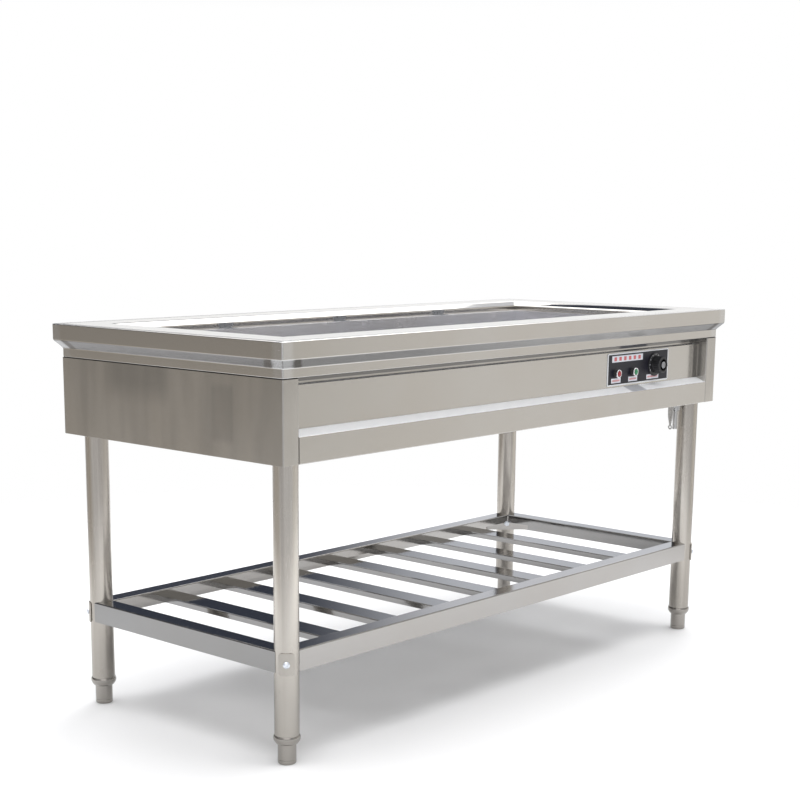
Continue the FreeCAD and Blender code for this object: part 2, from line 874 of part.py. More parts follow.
def rail_section(outer, side):
    inner = outer - size("shelf_flange") * side
    return folded_sheet([
        (outer, shelf_low),
        (outer, size("shelf_top")),
        (inner, size("shelf_top")),
        (inner, slat_top),
    ], size("shelf_gauge"), side)


def make_shelf_rails():
    long_end = leg_x - leg_radius - size("shelf_end_gap")
    short_end = leg_y - leg_radius - size("shelf_end_gap")
    for label, side in (("shelf_front_rail", -1), ("shelf_rear_rail", 1)):
        rail = new_body(label)
        extrude(rail, "YZ", -long_end, long_end, [rail_section(shelf_y * side, side)])
        keep(rail)
    for label, side in (("shelf_left_rail", -1), ("shelf_right_rail", 1)):
        rail = new_body(label)
        extrude(rail, "XZ", -short_end, short_end, [rail_section(shelf_x * side, side)])
        keep(rail)


def make_shelf_slats():
    half_slat = size("slat_width") / 2
    slat_end = shelf_y - size("shelf_gauge") - 2
    slat_low = slat_top - size("slat_side")
    rail_edge = shelf_x - size("shelf_flange")
    first = -rail_edge + size("slat_left_gap") + half_slat
    last = rail_edge - size("slat_right_gap") - half_slat
    for number in range(SLAT_COUNT):
        middle = first + (last - first) * (number / (SLAT_COUNT - 1))
        slat = new_body(f"shelf_slat_{number + 1}")
        extrude(slat, "XZ", -slat_end, slat_end, [folded_sheet([
            (middle - half_slat, slat_low),
            (middle - half_slat, slat_top),
            (middle + half_slat, slat_top),
            (middle + half_slat, slat_low),
        ], size("slat_gauge"), -1)])
        keep(slat)


gusset_reach = leg_radius + size("plug_gap")
shank_radius = size("bolt_diameter") / 2


def make_gussets():
    """Diagonal plates that tie the shelf rails to the legs."""
    wall_x = shelf_x - size("shelf_gauge") - size("gusset_gauge")
    wall_y = shelf_y - size("shelf_gauge") - size("gusset_gauge")
    diagonal = leg_x + leg_y - gusset_reach * math.sqrt(2)
    low = shelf_low + 1.5
    pieces = []
    for corner, side, end in CORNERS:
        plate = new_body("gusset_plate")
        near_x = diagonal - wall_y
        near_y = diagonal - wall_x
        extrude(plate, "XY", low, low + size("gusset_height"), [folded_sheet([
            ((near_x + size("gusset_tab")) * side, wall_y * end),
            (near_x * side, wall_y * end),
            (wall_x * side, near_y * end),
            (wall_x * side, (near_y + size("gusset_tab")) * end),
        ], size("gusset_gauge"), -side * end)])
        start = diagonal_point(leg_x * side, leg_y * end, side, end, -(gusset_reach + 10))
        hole = cylinder(shank_radius + 0.5, 20, (*start, size("bolt_height")), (side, end, 0))
        pieces.append(trimmed(plate, [hole]))
    keep(group("shelf_corner_gussets", pieces))


def make_leg_fasteners():
    outer_reach = leg_radius + size("plug_gap") + size("saddle_gauge")
    nut_reach = gusset_reach + size("gusset_gauge")
    head_radius = size("bolt_head") / 2
    rim_height = 2.2
    dome_height = 2.4
    socket_depth = 2.6
    nut_height = 6.5
    inside_length = nut_reach + nut_height + 3
    bolts = []
    nuts = []
    saddles = []
    for corner, side, end in CORNERS:
        x = leg_x * side
        y = leg_y * end
        z = size("bolt_height")
        outward = (side, end, 0)
        head_base = (*diagonal_point(x, y, side, end, outer_reach), z)
        dome_reach = outer_reach + rim_height
        dome_base = (*diagonal_point(x, y, side, end, dome_reach), z)
        socket_reach = dome_reach + dome_height - socket_depth
        socket_base = (*diagonal_point(x, y, side, end, socket_reach), z)
        shank_base = (*diagonal_point(x, y, side, end, -inside_length), z)
        nut_base = (*diagonal_point(x, y, side, end, -(nut_reach + nut_height)), z)
        rim = cylinder(head_radius, rim_height, head_base, outward)
        dome = cone(head_radius, head_radius * 0.6, dome_height, dome_base, outward)
        socket = hexagon(size("bolt_socket"), socket_depth, socket_base, outward)
        shank = cylinder(shank_radius, inside_length + outer_reach + 1, shank_base, outward)
        bolts.append(trimmed(fused([rim, dome, shank]), [socket]))
        nut = hexagon(size("nut_flats"), nut_height, nut_base, outward)
        bore = cylinder(shank_radius + 0.2, nut_height, nut_base, outward)
        nuts.append(trimmed(nut, [bore]))
        saddles.append(make_saddle(x, y, z, side, end, outer_reach))
    keep(group("leg_bolts", bolts))
    keep(group("leg_nuts", nuts))
    keep(group("leg_saddles", saddles))


def make_saddle(x, y, z, side, end, outer_reach):
    """Curved plate between a bolt head and its leg."""
    low = z - size("saddle_height") / 2
    ring = trimmed(
        cylinder(outer_reach, size("saddle_height"), (x, y, low)),
        [cylinder(outer_reach - size("saddle_gauge"), size("saddle_height"), (x, y, low))],
    )
    half_side = size("saddle_width") / 2
    block = doc.addObject("Part::Box", "SaddleBlock")
    bind(block, "Length", outer_reach + 5)
    bind(block, "Width", size("saddle_width"))
    bind(block, "Height", size("saddle_height"))
    heading = math.degrees(math.atan2(end, side))
    turn = FreeCAD.Rotation(FreeCAD.Vector(0, 0, 1), heading)
    block.Placement = FreeCAD.Placement(FreeCAD.Vector(), turn)
    across = half_side * math.sqrt(0.5)
    place(block, x + across * end, y - across * side, low)
    common = doc.addObject("Part::Common", "SaddlePlate")
    common.Base = ring
    common.Tool = block
    hole_base = (*diagonal_point(x, y, side, end, outer_reach - 10), z)
    hole = cylinder(shank_radius + 0.5, 20, hole_base, (side, end, 0))
    return trimmed(common, [hole])


# Controls

def make_control_plate():
    body = new_body("control_plate")
    extrude(body, "XZ", plate_face, -panel_y, [rectangle(
        plate_left,
        plate_left + size("plate_width"),
        plate_top - size("plate_height"),
        plate_top,
    )])
    extrude(body, "XZ", plate_face, -panel_y, circles=control_holes(), cut=True)
    keep(body)


knob_back = plate_face - 0.8
knob_front = knob_back - size("knob_height")
cap_seat = knob_front + 1


def make_knob():
    grip = size("knob_diameter") / 2
    skirt = size("knob_skirt_diameter") / 2
    cap = size("cap_diameter") / 2
    bore = shaft_radius + 0.1
    body = new_body("thermostat_knob")
    revolve(body, "YZ", "H_Axis", [
        (knob_back, bore),
        (knob_back, skirt),
        (knob_back - 2, skirt),
        (knob_back - 3, skirt - 1.5),
        (knob_back - 3, grip),
        (knob_front + 1.5, grip - 1),
        (knob_front, grip - 2.5),
        (knob_front, cap + 0.2),
        (cap_seat, cap + 0.2),
        (cap_seat, 0),
        (cap_seat + 1.5, 0),
        (cap_seat + 1.5, bore),
    ])
    keep(place(body, knob_x, 0, knob_z))
    disc = new_body("knob_cap")
    revolve(disc, "YZ", "H_Axis", [
        (cap_seat, 0),
        (cap_seat, cap),
        (knob_front - 0.3, cap),
        (knob_front - 0.8, cap - 0.6),
        (knob_front - 0.8, 0),
    ])
    keep(place(disc, knob_x, 0, knob_z))


thermostat_back = -panel_back + size("thermostat_depth")
shaft_end = thermostat_back - 10


def make_thermostat():
    half_body = size("thermostat_width") / 2
    half_rise = size("thermostat_height") / 2
    body = new_body("thermostat_body")
    extrude(body, "XZ", -panel_back, thermostat_back, [rectangle(
        knob_x - half_body,
        knob_x + half_body,
        knob_z - half_rise,
        knob_z + half_rise,
    )])
    extrude(body, "XZ", -panel_back, shaft_end,
            circles=[((knob_x, knob_z), shaft_radius + size("running_clearance"))], cut=True)
    keep(body)
    shaft = new_body("thermostat_shaft")
    extrude(shaft, "XZ", cap_seat + 1.5, shaft_end, circles=[((knob_x, knob_z), shaft_radius)])
    keep(shaft)


def make_thermostat_bulb():
    """Sensing bulb in the basin with its capillary tube through the front wall."""
    wall = -basin_y - basin_wall
    bulb_y = -basin_y + size("bulb_wall_gap")
    bulb_end = bulb_x - 30
    tube_radius = 1.5
    tube_bend = 8
    bulb_radius = 4
    fitting_radius = 7
    fitting_length = 6
    capillary = swept_run([
        (bulb_x, thermostat_back, bulb_height),
        (bulb_x, bulb_y, bulb_height),
        (bulb_end - 10, bulb_y, bulb_height),
    ], tube_radius, tube_bend)
    bulb_start = bulb_end - size("bulb_length")
    centre = FreeCAD.Vector(bulb_start.value, bulb_y.value, bulb_height.value)
    along = FreeCAD.Vector(1, 0, 0)
    bulb = Part.makeCylinder(bulb_radius, size("bulb_length").value, centre, along)
    seat = FreeCAD.Vector(bulb_x.value, wall.value, bulb_height.value)
    outward = FreeCAD.Vector(0, -1, 0)
    fitting = Part.makeCylinder(fitting_radius, fitting_length, seat, outward)
    keep(shaped("thermostat_bulb", capillary.fuse([bulb, fitting]).removeSplitter()))


lamp_back = -panel_back + 26


def make_lamps():
    lens = size("lens_diameter") / 2
    bezel = size("bezel_diameter") / 2
    clip_back = -panel_back + 6
    collar = bezel - 1.5
    bezel_front = plate_face - size("lamp_reach")
    bezel_back = bezel_front + size("bezel_gauge")
    lens_back = bezel_front + 1.5
    lens_front = bezel_front - 1.5
    bezels = []
    housings = []
    for label, x in (("red_lamp_lens", red_lamp_x), ("green_lamp_lens", green_lamp_x)):
        dome = new_body(label)
        revolve(dome, "YZ", "H_Axis", [
            (lens_back, 0),
            (lens_back, lens),
            (bezel_front, lens),
            (bezel_front - 1, lens - 1.5),
            (lens_front, lens - 3.5),
            (lens_front, 0),
        ])
        keep(place(dome, x, 0, lamp_z))
        ring = new_body("lamp_bezel")
        revolve(ring, "YZ", "H_Axis", [
            (bezel_back, lamp_body_radius + 0.3),
            (bezel_back, bezel),
            (bezel_front + 1.5, bezel),
            (bezel_front, bezel - 1.5),
            (bezel_front, lamp_body_radius + 0.3),
        ])
        bezels.append(place(ring, x, 0, lamp_z))
        housing = new_body("lamp_body")
        revolve(housing, "YZ", "H_Axis", [
            (lens_back, 0),
            (lamp_back, 0),
            (lamp_back, lamp_body_radius),
            (clip_back, lamp_body_radius),
            (clip_back, bezel - 1),
            (-panel_back, bezel - 1),
            (-panel_back, lamp_body_radius),
            (plate_face, lamp_body_radius),
            (plate_face, collar),
            (bezel_back, collar),
            (bezel_back, lamp_body_radius),
            (lens_back, lamp_body_radius),
        ])
        housings.append(place(housing, x, 0, lamp_z))
    keep(group("lamp_bezels", bezels))
    keep(group("lamp_bodies", housings))


# Wiring

LEAD_RADIUS = 2
lead_y = thermostat_back + LEAD_RADIUS + size("lead_gap")
block_left = half_length - size("block_end_inset")
block_front = lead_y - size("block_depth") / 2
block_back = lead_y + size("block_depth") / 2
block_top = floor_panel_top + size("block_height")
gland_x = half_length - size("gland_end_inset")
gland_z = floor_panel_top + size("gland_rise")
gland_thread = size("gland_bore") / 2 + 4
gland_back = body_y - 14


def make_terminal_block():
    body = new_body("terminal_block")
    extrude(body, "XY", floor_panel_top, block_top, [rectangle(
        block_left,
        block_left + size("block_width"),
        block_front,
        block_back,
    )])
    keep(body)


def make_cable_gland():
    """Cable entry low on the back panel."""
    bore = size("gland_bore") / 2
    outside = body_y + gauge
    nut = gland_thread + 4
    body = new_body("cable_gland")
    revolve(body, "YZ", "H_Axis", [
        (gland_back, bore),
        (gland_back, gland_thread),
        (body_y - 6, gland_thread),
        (body_y - 6, nut),
        (body_y, nut),
        (body_y, gland_thread),
        (outside, gland_thread),
        (outside, nut),
        (outside + 5, nut),
        (outside + 6, nut - 2),
        (outside + 11, gland_thread),
        (outside + 12, bore + 1.5),
        (outside + 12, bore),
    ])
    keep(place(body, gland_x, 0, gland_z))


def make_wiring():
    """Insulated leads from the terminal block to the lamps, thermostat, heaters and gland."""
    feed_radius = 3
    bend = 5
    terminal_pitch = 8
    runs = []
    for step, x, z, back in (
        (1, red_lamp_x, lamp_z, lamp_back),
        (2, green_lamp_x, lamp_z, lamp_back),
        (3, knob_x + 10, knob_z - 6, thermostat_back),
    ):
        start_x = block_left + terminal_pitch * step
        level = block_top + 6 + terminal_pitch * step
        runs.append([
            (start_x, lead_y, block_top),
            (start_x, lead_y, level),
            (x, lead_y, level),
            (x, lead_y, z),
            (x, back, z),
        ])
    aisle = basin_x + 50
    low = floor_panel_top + 6
    for side, start_x in ((1, block_left + 6), (-1, block_left + 6 + terminal_pitch)):
        target_y = (heater_y - half_loop) * side
        runs.append([
            (start_x, block_back, low),
            (start_x, target_y, low),
            (aisle, target_y, low),
            (aisle, target_y, heater_height),
            (rod_end, target_y, heater_height),
        ])
    wires = [swept_run(points, LEAD_RADIUS, bend) for points in runs]
    feed_start = FreeCAD.Vector(gland_x.value, block_back.value, gland_z.value)
    feed_length = gland_back.value - block_back.value
    along = FreeCAD.Vector(0, 1, 0)
    wires.append(Part.makeCylinder(feed_radius, feed_length, feed_start, along))
    keep(shaped("wiring_loom", Part.makeCompound(wires)))


# Heaters and their guard

flange_gauge = 4
stud_step = 18


def make_heater(label, side):
    """Looped rod whose two ends pass through the end wall, with its flange and studs."""
    wall = basin_x + basin_wall
    middle = heater_y * side
    far = -basin_x + size("heater_end_gap") + half_loop
    reach = rod_end - far
    rods = [
        cylinder(rod_radius, reach, (far, middle + half_loop * run, heater_height), (1, 0, 0))
        for run in (-1, 1)
    ]
    bend = doc.addObject("Part::Torus", "HeaterBend")
    bind(bend, "Radius1", half_loop)
    bind(bend, "Radius2", rod_radius)
    bend.Angle3 = 180
    quarter = FreeCAD.Rotation(FreeCAD.Vector(0, 0, 1), 90)
    bend.Placement = FreeCAD.Placement(FreeCAD.Vector(), quarter)
    place(bend, far, middle, heater_height)
    plate = new_body("heater_flange")
    half_plate = half_loop + stud_step + 10
    half_rise = 14
    extrude(plate, "YZ", wall, wall + flange_gauge, [rectangle(
        middle - half_plate,
        middle + half_plate,
        heater_height - half_rise,
        heater_height + half_rise,
    )])
    studs = [
        cylinder(2.5, 14, (wall, middle + (half_loop + stud_step) * run, heater_height), (1, 0, 0))
        for run in (-1, 1)
    ]
    keep(fused(rods + [bend, plate] + studs), label)


def make_heater_nuts():
    seat = basin_x + basin_wall + flange_gauge
    reach = half_loop + stud_step
    flats = 10
    nut_height = 4.5
    nut_bore = 2.7
    nuts = []
    for side in (-1, 1):
        for run in (-1, 1):
            spot = (seat, heater_y * side + reach * run, heater_height)
            nut = hexagon(flats, nut_height, spot, (1, 0, 0))
            bore = cylinder(nut_bore, nut_height, spot, (1, 0, 0))
            nuts.append(trimmed(nut, [bore]))
    keep(group("heater_nuts", nuts))


def make_heater_guard():
    """Perforated false floor that keeps pans off the heaters."""
    body = new_body("heater_guard")
    guard_top = basin_floor + size("guard_rise")
    half_run = basin_x - 12
    extrude(body, "YZ", -half_run, half_run, [folded_sheet([
        (-guard_y, basin_floor),
        (-guard_y, guard_top),
        (guard_y, guard_top),
        (guard_y, basin_floor),
    ], size("rim_gauge"), -1)])
    columns = 20
    last = half_run * 0.93
    rows = [guard_y * share for share in (-0.8, -0.4, 0, 0.4, 0.8)]
    hole = extrude(body, "XY", guard_top - size("rim_gauge"), guard_top,
                   circles=[((-last, y), size("guard_hole") / 2) for y in rows], cut=True)
    pattern = body.newObject("PartDesign::LinearPattern", "Perforations")
    pattern.Originals = [hole]
    pattern.Direction = (hole.Profile[0], ["H_Axis"])
    pattern.Occurrences = columns
    bind(pattern, "Length", last * 2)
    body.Tip = pattern
    keep(body)


# Drain

pipe_radius = size("drain_pipe_diameter") / 2
valve_x = leg_x - leg_radius - size("valve_gap")
valve_y = -leg_y + size("valve_setback")
valve_z = body_bottom - size("valve_drop")
valve_top = valve_z + size("valve_rise")
valve_low = valve_z - size("valve_tail")
valve_radius = size("valve_diameter") / 2
way_radius = size("valve_bore") / 2
ball_radius = size("ball_diameter") / 2
stem_hole = shaft_radius + size("running_clearance")
boss_face = valve_x - valve_radius - 5
lever_near = boss_face - 3
lever_far = lever_near - size("lever_gauge")


def make_drain_fitting():
    body = new_body("drain_fitting")
    tail_low = basin_under - 9
    revolve(body, "XZ", "V_Axis", [
        (pipe_radius + 0.2, tail_low),
        (tail_radius, tail_low),
        (tail_radius, basin_floor),
        (tail_radius + 8, basin_floor),
        (tail_radius + 6, basin_floor + 2),
        (pipe_radius - 2, basin_floor + 2),
        (pipe_radius - 2, basin_floor - 4),
        (pipe_radius + 0.2, basin_floor - 4),
    ])
    keep(place(body, drain_x, drain_y))


def make_drain_pipe():
    level = body_bottom + 28
    path = [
        (drain_x, drain_y, basin_floor - 4),
        (drain_x, drain_y, level),
        (valve_x, valve_y, level),
        (valve_x, valve_y, valve_top),
    ]
    bend = 14
    outside = swept_run(path, pipe_radius, bend)
    inside = swept_run(path, pipe_radius - 1.5, bend)
    keep(shaped("drain_pipe", outside.cut(inside)))


def make_valve():
    centre = (valve_x, valve_y, valve_z)
    left = (-1, 0, 0)
    body_height = valve_top - valve_low
    outer = cylinder(valve_radius, body_height, (valve_x, valve_y, valve_low))
    boss = cylinder(7, valve_x - boss_face, centre, left)
    seat = sphere(ball_radius + size("running_clearance"), centre)
    way = cylinder(way_radius, body_height, (valve_x, valve_y, valve_low))
    stem_way = cylinder(stem_hole, valve_x - boss_face, centre, left)
    keep(trimmed(fused([outer, boss]), [seat, way, stem_way]), "valve_body")
    ball = sphere(ball_radius, centre)
    stem = cylinder(shaft_radius, valve_x - lever_far, centre, left)
    rivet = cylinder(shaft_radius + 2, 1.5, (lever_far, valve_y, valve_z), left)
    ball_way = cylinder(way_radius, ball_radius * 2, (valve_x, valve_y, valve_z - ball_radius))
    keep(trimmed(fused([ball, stem, rivet]), [ball_way]), "valve_ball")


def make_lever():
    """Leaf-shaped lever with a small ring at its end, hanging down when the valve is open."""
    half_lever = size("lever_width") / 2
    half_neck = 2.5
    ring_z = valve_z - size("lever_reach")
    ring_radius = 6
    ring_hole = 2.5
    half_leaf = [
        (half_lever * 0.6, valve_z + half_lever * 0.75),
        (half_lever * 0.95, valve_z),
        (half_lever, valve_z - 15),
        (half_lever * 0.9, valve_z - 28),
        (half_lever * 0.55, valve_z - 41),
        (half_neck, ring_z + 5),
        (half_neck, ring_z + 3),
    ]
    rear_edge = [(valve_y + reach, z) for reach, z in half_leaf]
    front_edge = [(valve_y - reach, z) for reach, z in half_leaf]
    body = new_body("valve_lever")
    extrude(body, "YZ", lever_far, lever_near, [rear_edge + front_edge[::-1]])
    extrude(body, "YZ", lever_far, lever_near, circles=[((valve_y, ring_z), ring_radius)])
    extrude(body, "YZ", lever_far, lever_near, circles=[
        ((valve_y, ring_z), ring_hole),
        ((valve_y, valve_z), shaft_radius + 0.1),
    ], cut=True)
    keep(body)


def make_spout():
    """Straight spout under the valve, with a collar at its root."""
    radius = size("spout_diameter") / 2
    collar = radius + 3
    low = body_bottom - size("spout_drop")
    body = new_body("drain_spout")
    revolve(body, "XZ", "V_Axis", [
        (way_radius, valve_low),
        (collar, valve_low),
        (collar, valve_low - 3),
        (radius, valve_low - 4),
        (radius, low),
        (way_radius, low),
    ])
    keep(place(body, valve_x, valve_y))


def build():
    make_top_rim()
    make_basin()
    make_basin_floor()
    make_divider_brackets()
    make_side_panel("left_side_panel", -1)
    make_side_panel("right_side_panel", 1)
    make_front_panel()
    make_lower_rail()
    make_back_panel()
    make_bottom_panel()
    make_insulation()
    make_panel_screws()
    for corner, side, end in CORNERS:
        make_leg(corner, side, end)
        make_foot(corner, side, end)
    make_leg_sockets()
    make_leg_collars()
    make_shelf_rails()
    make_shelf_slats()
    make_gussets()
    make_leg_fasteners()
    make_control_plate()
    make_knob()
    make_thermostat()
    make_thermostat_bulb()
    make_lamps()
    make_terminal_block()
    make_cable_gland()
    make_wiring()
    make_heater("heater_front", -1)
    make_heater("heater_rear", 1)
    make_heater_nuts()
    make_heater_guard()
    make_drain_fitting()
    make_drain_pipe()
    make_valve()
    make_lever()
    make_spout()
    doc.recompute()


def export():
    os.makedirs("parts", exist_ok=True)
    for item in doc.Objects:
        if "Invalid" in item.State or "Error" in item.State:
            raise RuntimeError(f"{item.Label} did not build: {item.State}")
    for item in nodes:
        if item.Shape.isNull() or not item.Shape.isValid():
            raise RuntimeError(f"{item.Label} has no valid shape")
        item.Shape.exportStep(f"parts/{item.Label}.step")


build()
export()
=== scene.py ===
import math

import bmesh
import bpy
from mathutils import Matrix, Quaternion, Vector


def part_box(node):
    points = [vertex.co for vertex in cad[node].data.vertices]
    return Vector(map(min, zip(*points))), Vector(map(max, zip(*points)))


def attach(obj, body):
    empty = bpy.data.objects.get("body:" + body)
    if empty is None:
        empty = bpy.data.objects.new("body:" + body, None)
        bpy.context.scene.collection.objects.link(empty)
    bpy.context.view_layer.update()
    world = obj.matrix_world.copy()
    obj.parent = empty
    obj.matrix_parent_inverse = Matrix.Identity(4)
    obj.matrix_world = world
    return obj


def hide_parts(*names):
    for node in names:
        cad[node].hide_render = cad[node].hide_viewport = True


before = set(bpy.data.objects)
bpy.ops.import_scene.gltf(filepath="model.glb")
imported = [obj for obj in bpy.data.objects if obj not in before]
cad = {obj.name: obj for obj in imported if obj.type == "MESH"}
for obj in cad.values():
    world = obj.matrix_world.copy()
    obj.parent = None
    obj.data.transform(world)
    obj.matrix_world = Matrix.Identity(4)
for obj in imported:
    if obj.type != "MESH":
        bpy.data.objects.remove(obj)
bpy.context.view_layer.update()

# Driving sizes of the counter, in metres

LENGTH = 1.600
WIDTH = 0.710
TOP = 0.850
FLANGE = 0.092
SLOPE = 0.012
LIP = 0.012
FACE = 0.035
BEVEL_DROP = 0.017
BEVEL_RUN = 0.015
SKIRT = 0.020
RETURN = 0.015
BODY_HEIGHT = 0.166
POST = 0.043
RECESS = 0.027
REVEAL = 0.013
REVEAL_HEIGHT = 0.016
RAIL_HEIGHT = 0.053
SILL_RISE = 0.011
FOLD = 0.020
FLANGE_OVERHANG = 0.0035
LEG_END_INSET = 0.065
LEG_SIDE_INSET = 0.060
LEG_RADIUS = 0.0255
LEG_WALL = 0.0015
LEG_LOW = 0.060
BOLT_HEIGHT = 0.2115
SHELF_END_INSET = 0.040
SHELF_SIDE_INSET = 0.0395
SHELF_TOP = 0.2365
SHELF_WALL = 0.045
SHELF_FLANGE = 0.042
SHELF_LIP = 0.0215
SHELF_GAUGE = 0.0015
SLAT_WIDTH = 0.060
SLAT_SIDE = 0.0135
SADDLE_WIDTH = 0.035
SADDLE_HEIGHT = 0.045
SADDLE_GAUGE = 0.0025
VALVE_HEIGHT = 0.604
LEVER_REACH = 0.0555
LEVER_GAUGE = 0.003
RIM_GAUGE = 0.0015
SHEET = 0.0012

body_x = LENGTH / 2 - BEVEL_RUN
body_y = WIDTH / 2 - BEVEL_RUN
skirt_low = TOP - FACE - BEVEL_DROP - SKIRT
body_low = skirt_low - BODY_HEIGHT
post_x = body_x - POST
panel_y = body_y - RECESS
reveal_y = panel_y - REVEAL
sill_low = body_low + RAIL_HEIGHT
sill_high = sill_low + SILL_RISE
lip_x = LENGTH / 2 - FLANGE - SLOPE
lip_y = WIDTH / 2 - FLANGE - SLOPE
leg_x = LENGTH / 2 - LEG_END_INSET
leg_y = WIDTH / 2 - LEG_SIDE_INSET
LEG_SPOTS = ((-1, -1), (1, -1), (-1, 1), (1, 1))


# Node helpers for the materials

def new_material(name):
    material = bpy.data.materials.new(name)
    material.use_nodes = True
    tree = material.node_tree
    return material, tree, tree.nodes["Principled BSDF"]


def feed(tree, value, socket):
    """Links a socket, or sets a number or a colour."""
    if isinstance(value, bpy.types.NodeSocket):
        tree.links.new(value, socket)
    elif isinstance(value, tuple) and len(value) == 3 and socket.type == "RGBA":
        socket.default_value = (*value, 1)
    else:
        socket.default_value = value


def object_point(tree, stretch=(1, 1, 1)):
    """Object coordinates, stretched so that marks run along one direction."""
    place = tree.nodes.new("ShaderNodeTexCoord")
    mapping = tree.nodes.new("ShaderNodeMapping")
    mapping.inputs["Scale"].default_value = stretch
    tree.links.new(place.outputs["Object"], mapping.inputs["Vector"])
    return mapping.outputs["Vector"]


def noise(tree, point, scale, detail=3, roughness=0.55):
    node = tree.nodes.new("ShaderNodeTexNoise")
    node.inputs["Scale"].default_value = scale
    node.inputs["Detail"].default_value = detail
    node.inputs["Roughness"].default_value = roughness
    tree.links.new(point, node.inputs["Vector"])
    return node.outputs["Fac"]


def remap(tree, value, low, high, from_low=0.3, from_high=0.7, smooth=False):
    node = tree.nodes.new("ShaderNodeMapRange")
    if smooth:
        node.interpolation_type = "SMOOTHSTEP"
    node.inputs["From Min"].default_value = from_low
    node.inputs["From Max"].default_value = from_high
    node.inputs["To Min"].default_value = low
    node.inputs["To Max"].default_value = high
    tree.links.new(value, node.inputs["Value"])
    return node.outputs["Result"]


def blend(tree, amount, first, second, mode="MIX"):
    node = tree.nodes.new("ShaderNodeMix")
    node.data_type = "RGBA"
    node.blend_type = mode
    sockets = {item.identifier: item for item in node.inputs}
    feed(tree, amount, sockets["Factor_Float"])
    feed(tree, first, sockets["A_Color"])
    feed(tree, second, sockets["B_Color"])
    return next(item for item in node.outputs if item.identifier == "Result_Color")


def reckon(tree, operation, *values):
    """One Math node."""
    node = tree.nodes.new("ShaderNodeMath")
    node.operation = operation
    for socket, value in zip(node.inputs, values):
        feed(tree, value, socket)
    return node.outputs["Value"]


def product(tree, *factors):
    result = factors[0]
    for factor in factors[1:]:
        result = reckon(tree, "MULTIPLY", result, factor)
    return result


def coordinates(tree):
    """X, Y and Z of a point on the counter, in metres."""
    place = tree.nodes.new("ShaderNodeTexCoord")
    split = tree.nodes.new("ShaderNodeSeparateXYZ")
    tree.links.new(place.outputs["Object"], split.inputs["Vector"])
    return split.outputs["X"], split.outputs["Y"], split.outputs["Z"]


def near(tree, value, middle, half, soft):
    """1 where a value lies within half of the middle, fading to 0 over the soft edge."""
    away = reckon(tree, "ABSOLUTE", reckon(tree, "SUBTRACT", value, middle))
    return remap(tree, away, 1, 0, half, half + soft, smooth=True)


def scaled(colour, factor):
    return tuple(min(channel * factor, 1) for channel in colour)


# Materials

GRAINS = {"X": (1, 0, 0), "Y": (0, 1, 0), "Z": (0, 0, 1)}


def brushed_steel(name, grain, tone=(0.60, 0.585, 0.56), rough=(0.15, 0.23),
                  wave=0.0014, marks=None):
    """Stainless sheet: fine grain along one axis, faint clouds, handling marks and waves."""
    material, tree, shader = new_material(name)
    shader.inputs["Metallic"].default_value = 1.0
    shader.inputs["Anisotropic"].default_value = 0.6
    shader.inputs["Anisotropic Rotation"].default_value = 0.25
    along = tree.nodes.new("ShaderNodeCombineXYZ")
    for socket, value in zip(along.inputs, GRAINS[grain]):
        socket.default_value = value
    tree.links.new(along.outputs["Vector"], shader.inputs["Tangent"])
    stretch = tuple(2 if share else 160 for share in GRAINS[grain])
    streaks = noise(tree, object_point(tree, stretch), 12, detail=4, roughness=0.7)
    clouds = noise(tree, object_point(tree), 4, detail=3)
    smudges = noise(tree, object_point(tree), 16, detail=5, roughness=0.6)
    colour = blend(tree, remap(tree, streaks, 0, 1), scaled(tone, 0.95), scaled(tone, 1.03))
    stained = (tone[0] * 0.93, tone[1] * 0.90, tone[2] * 0.86)
    colour = blend(tree, remap(tree, clouds, 0, 0.55), colour, stained)
    roughness = remap(tree, blend(tree, 0.5, smudges, streaks), *rough)
    if marks:
        colour, roughness = marks(tree, colour, roughness)
    feed(tree, colour, shader.inputs["Base Color"])
    feed(tree, roughness, shader.inputs["Roughness"])
    waves = noise(tree, object_point(tree), 3, detail=1)
    wavy = tree.nodes.new("ShaderNodeBump")
    wavy.inputs["Strength"].default_value = 0.5
    wavy.inputs["Distance"].default_value = wave
    tree.links.new(waves, wavy.inputs["Height"])
    fine = tree.nodes.new("ShaderNodeBump")
    fine.inputs["Strength"].default_value = 0.03
    fine.inputs["Distance"].default_value = 0.0002
    tree.links.new(streaks, fine.inputs["Height"])
    tree.links.new(wavy.outputs["Normal"], fine.inputs["Normal"])
    tree.links.new(fine.outputs["Normal"], shader.inputs["Normal"])
    return material


def painted_seam_shade(tree, colour, z):
    """Painted shade: a dark line in the narrow gap under the rim's skirt."""
    return blend(tree, product(tree, near(tree, z, skirt_low, 0.0009, 0.0007), 0.9),
                 colour, (0.05, 0.05, 0.06))


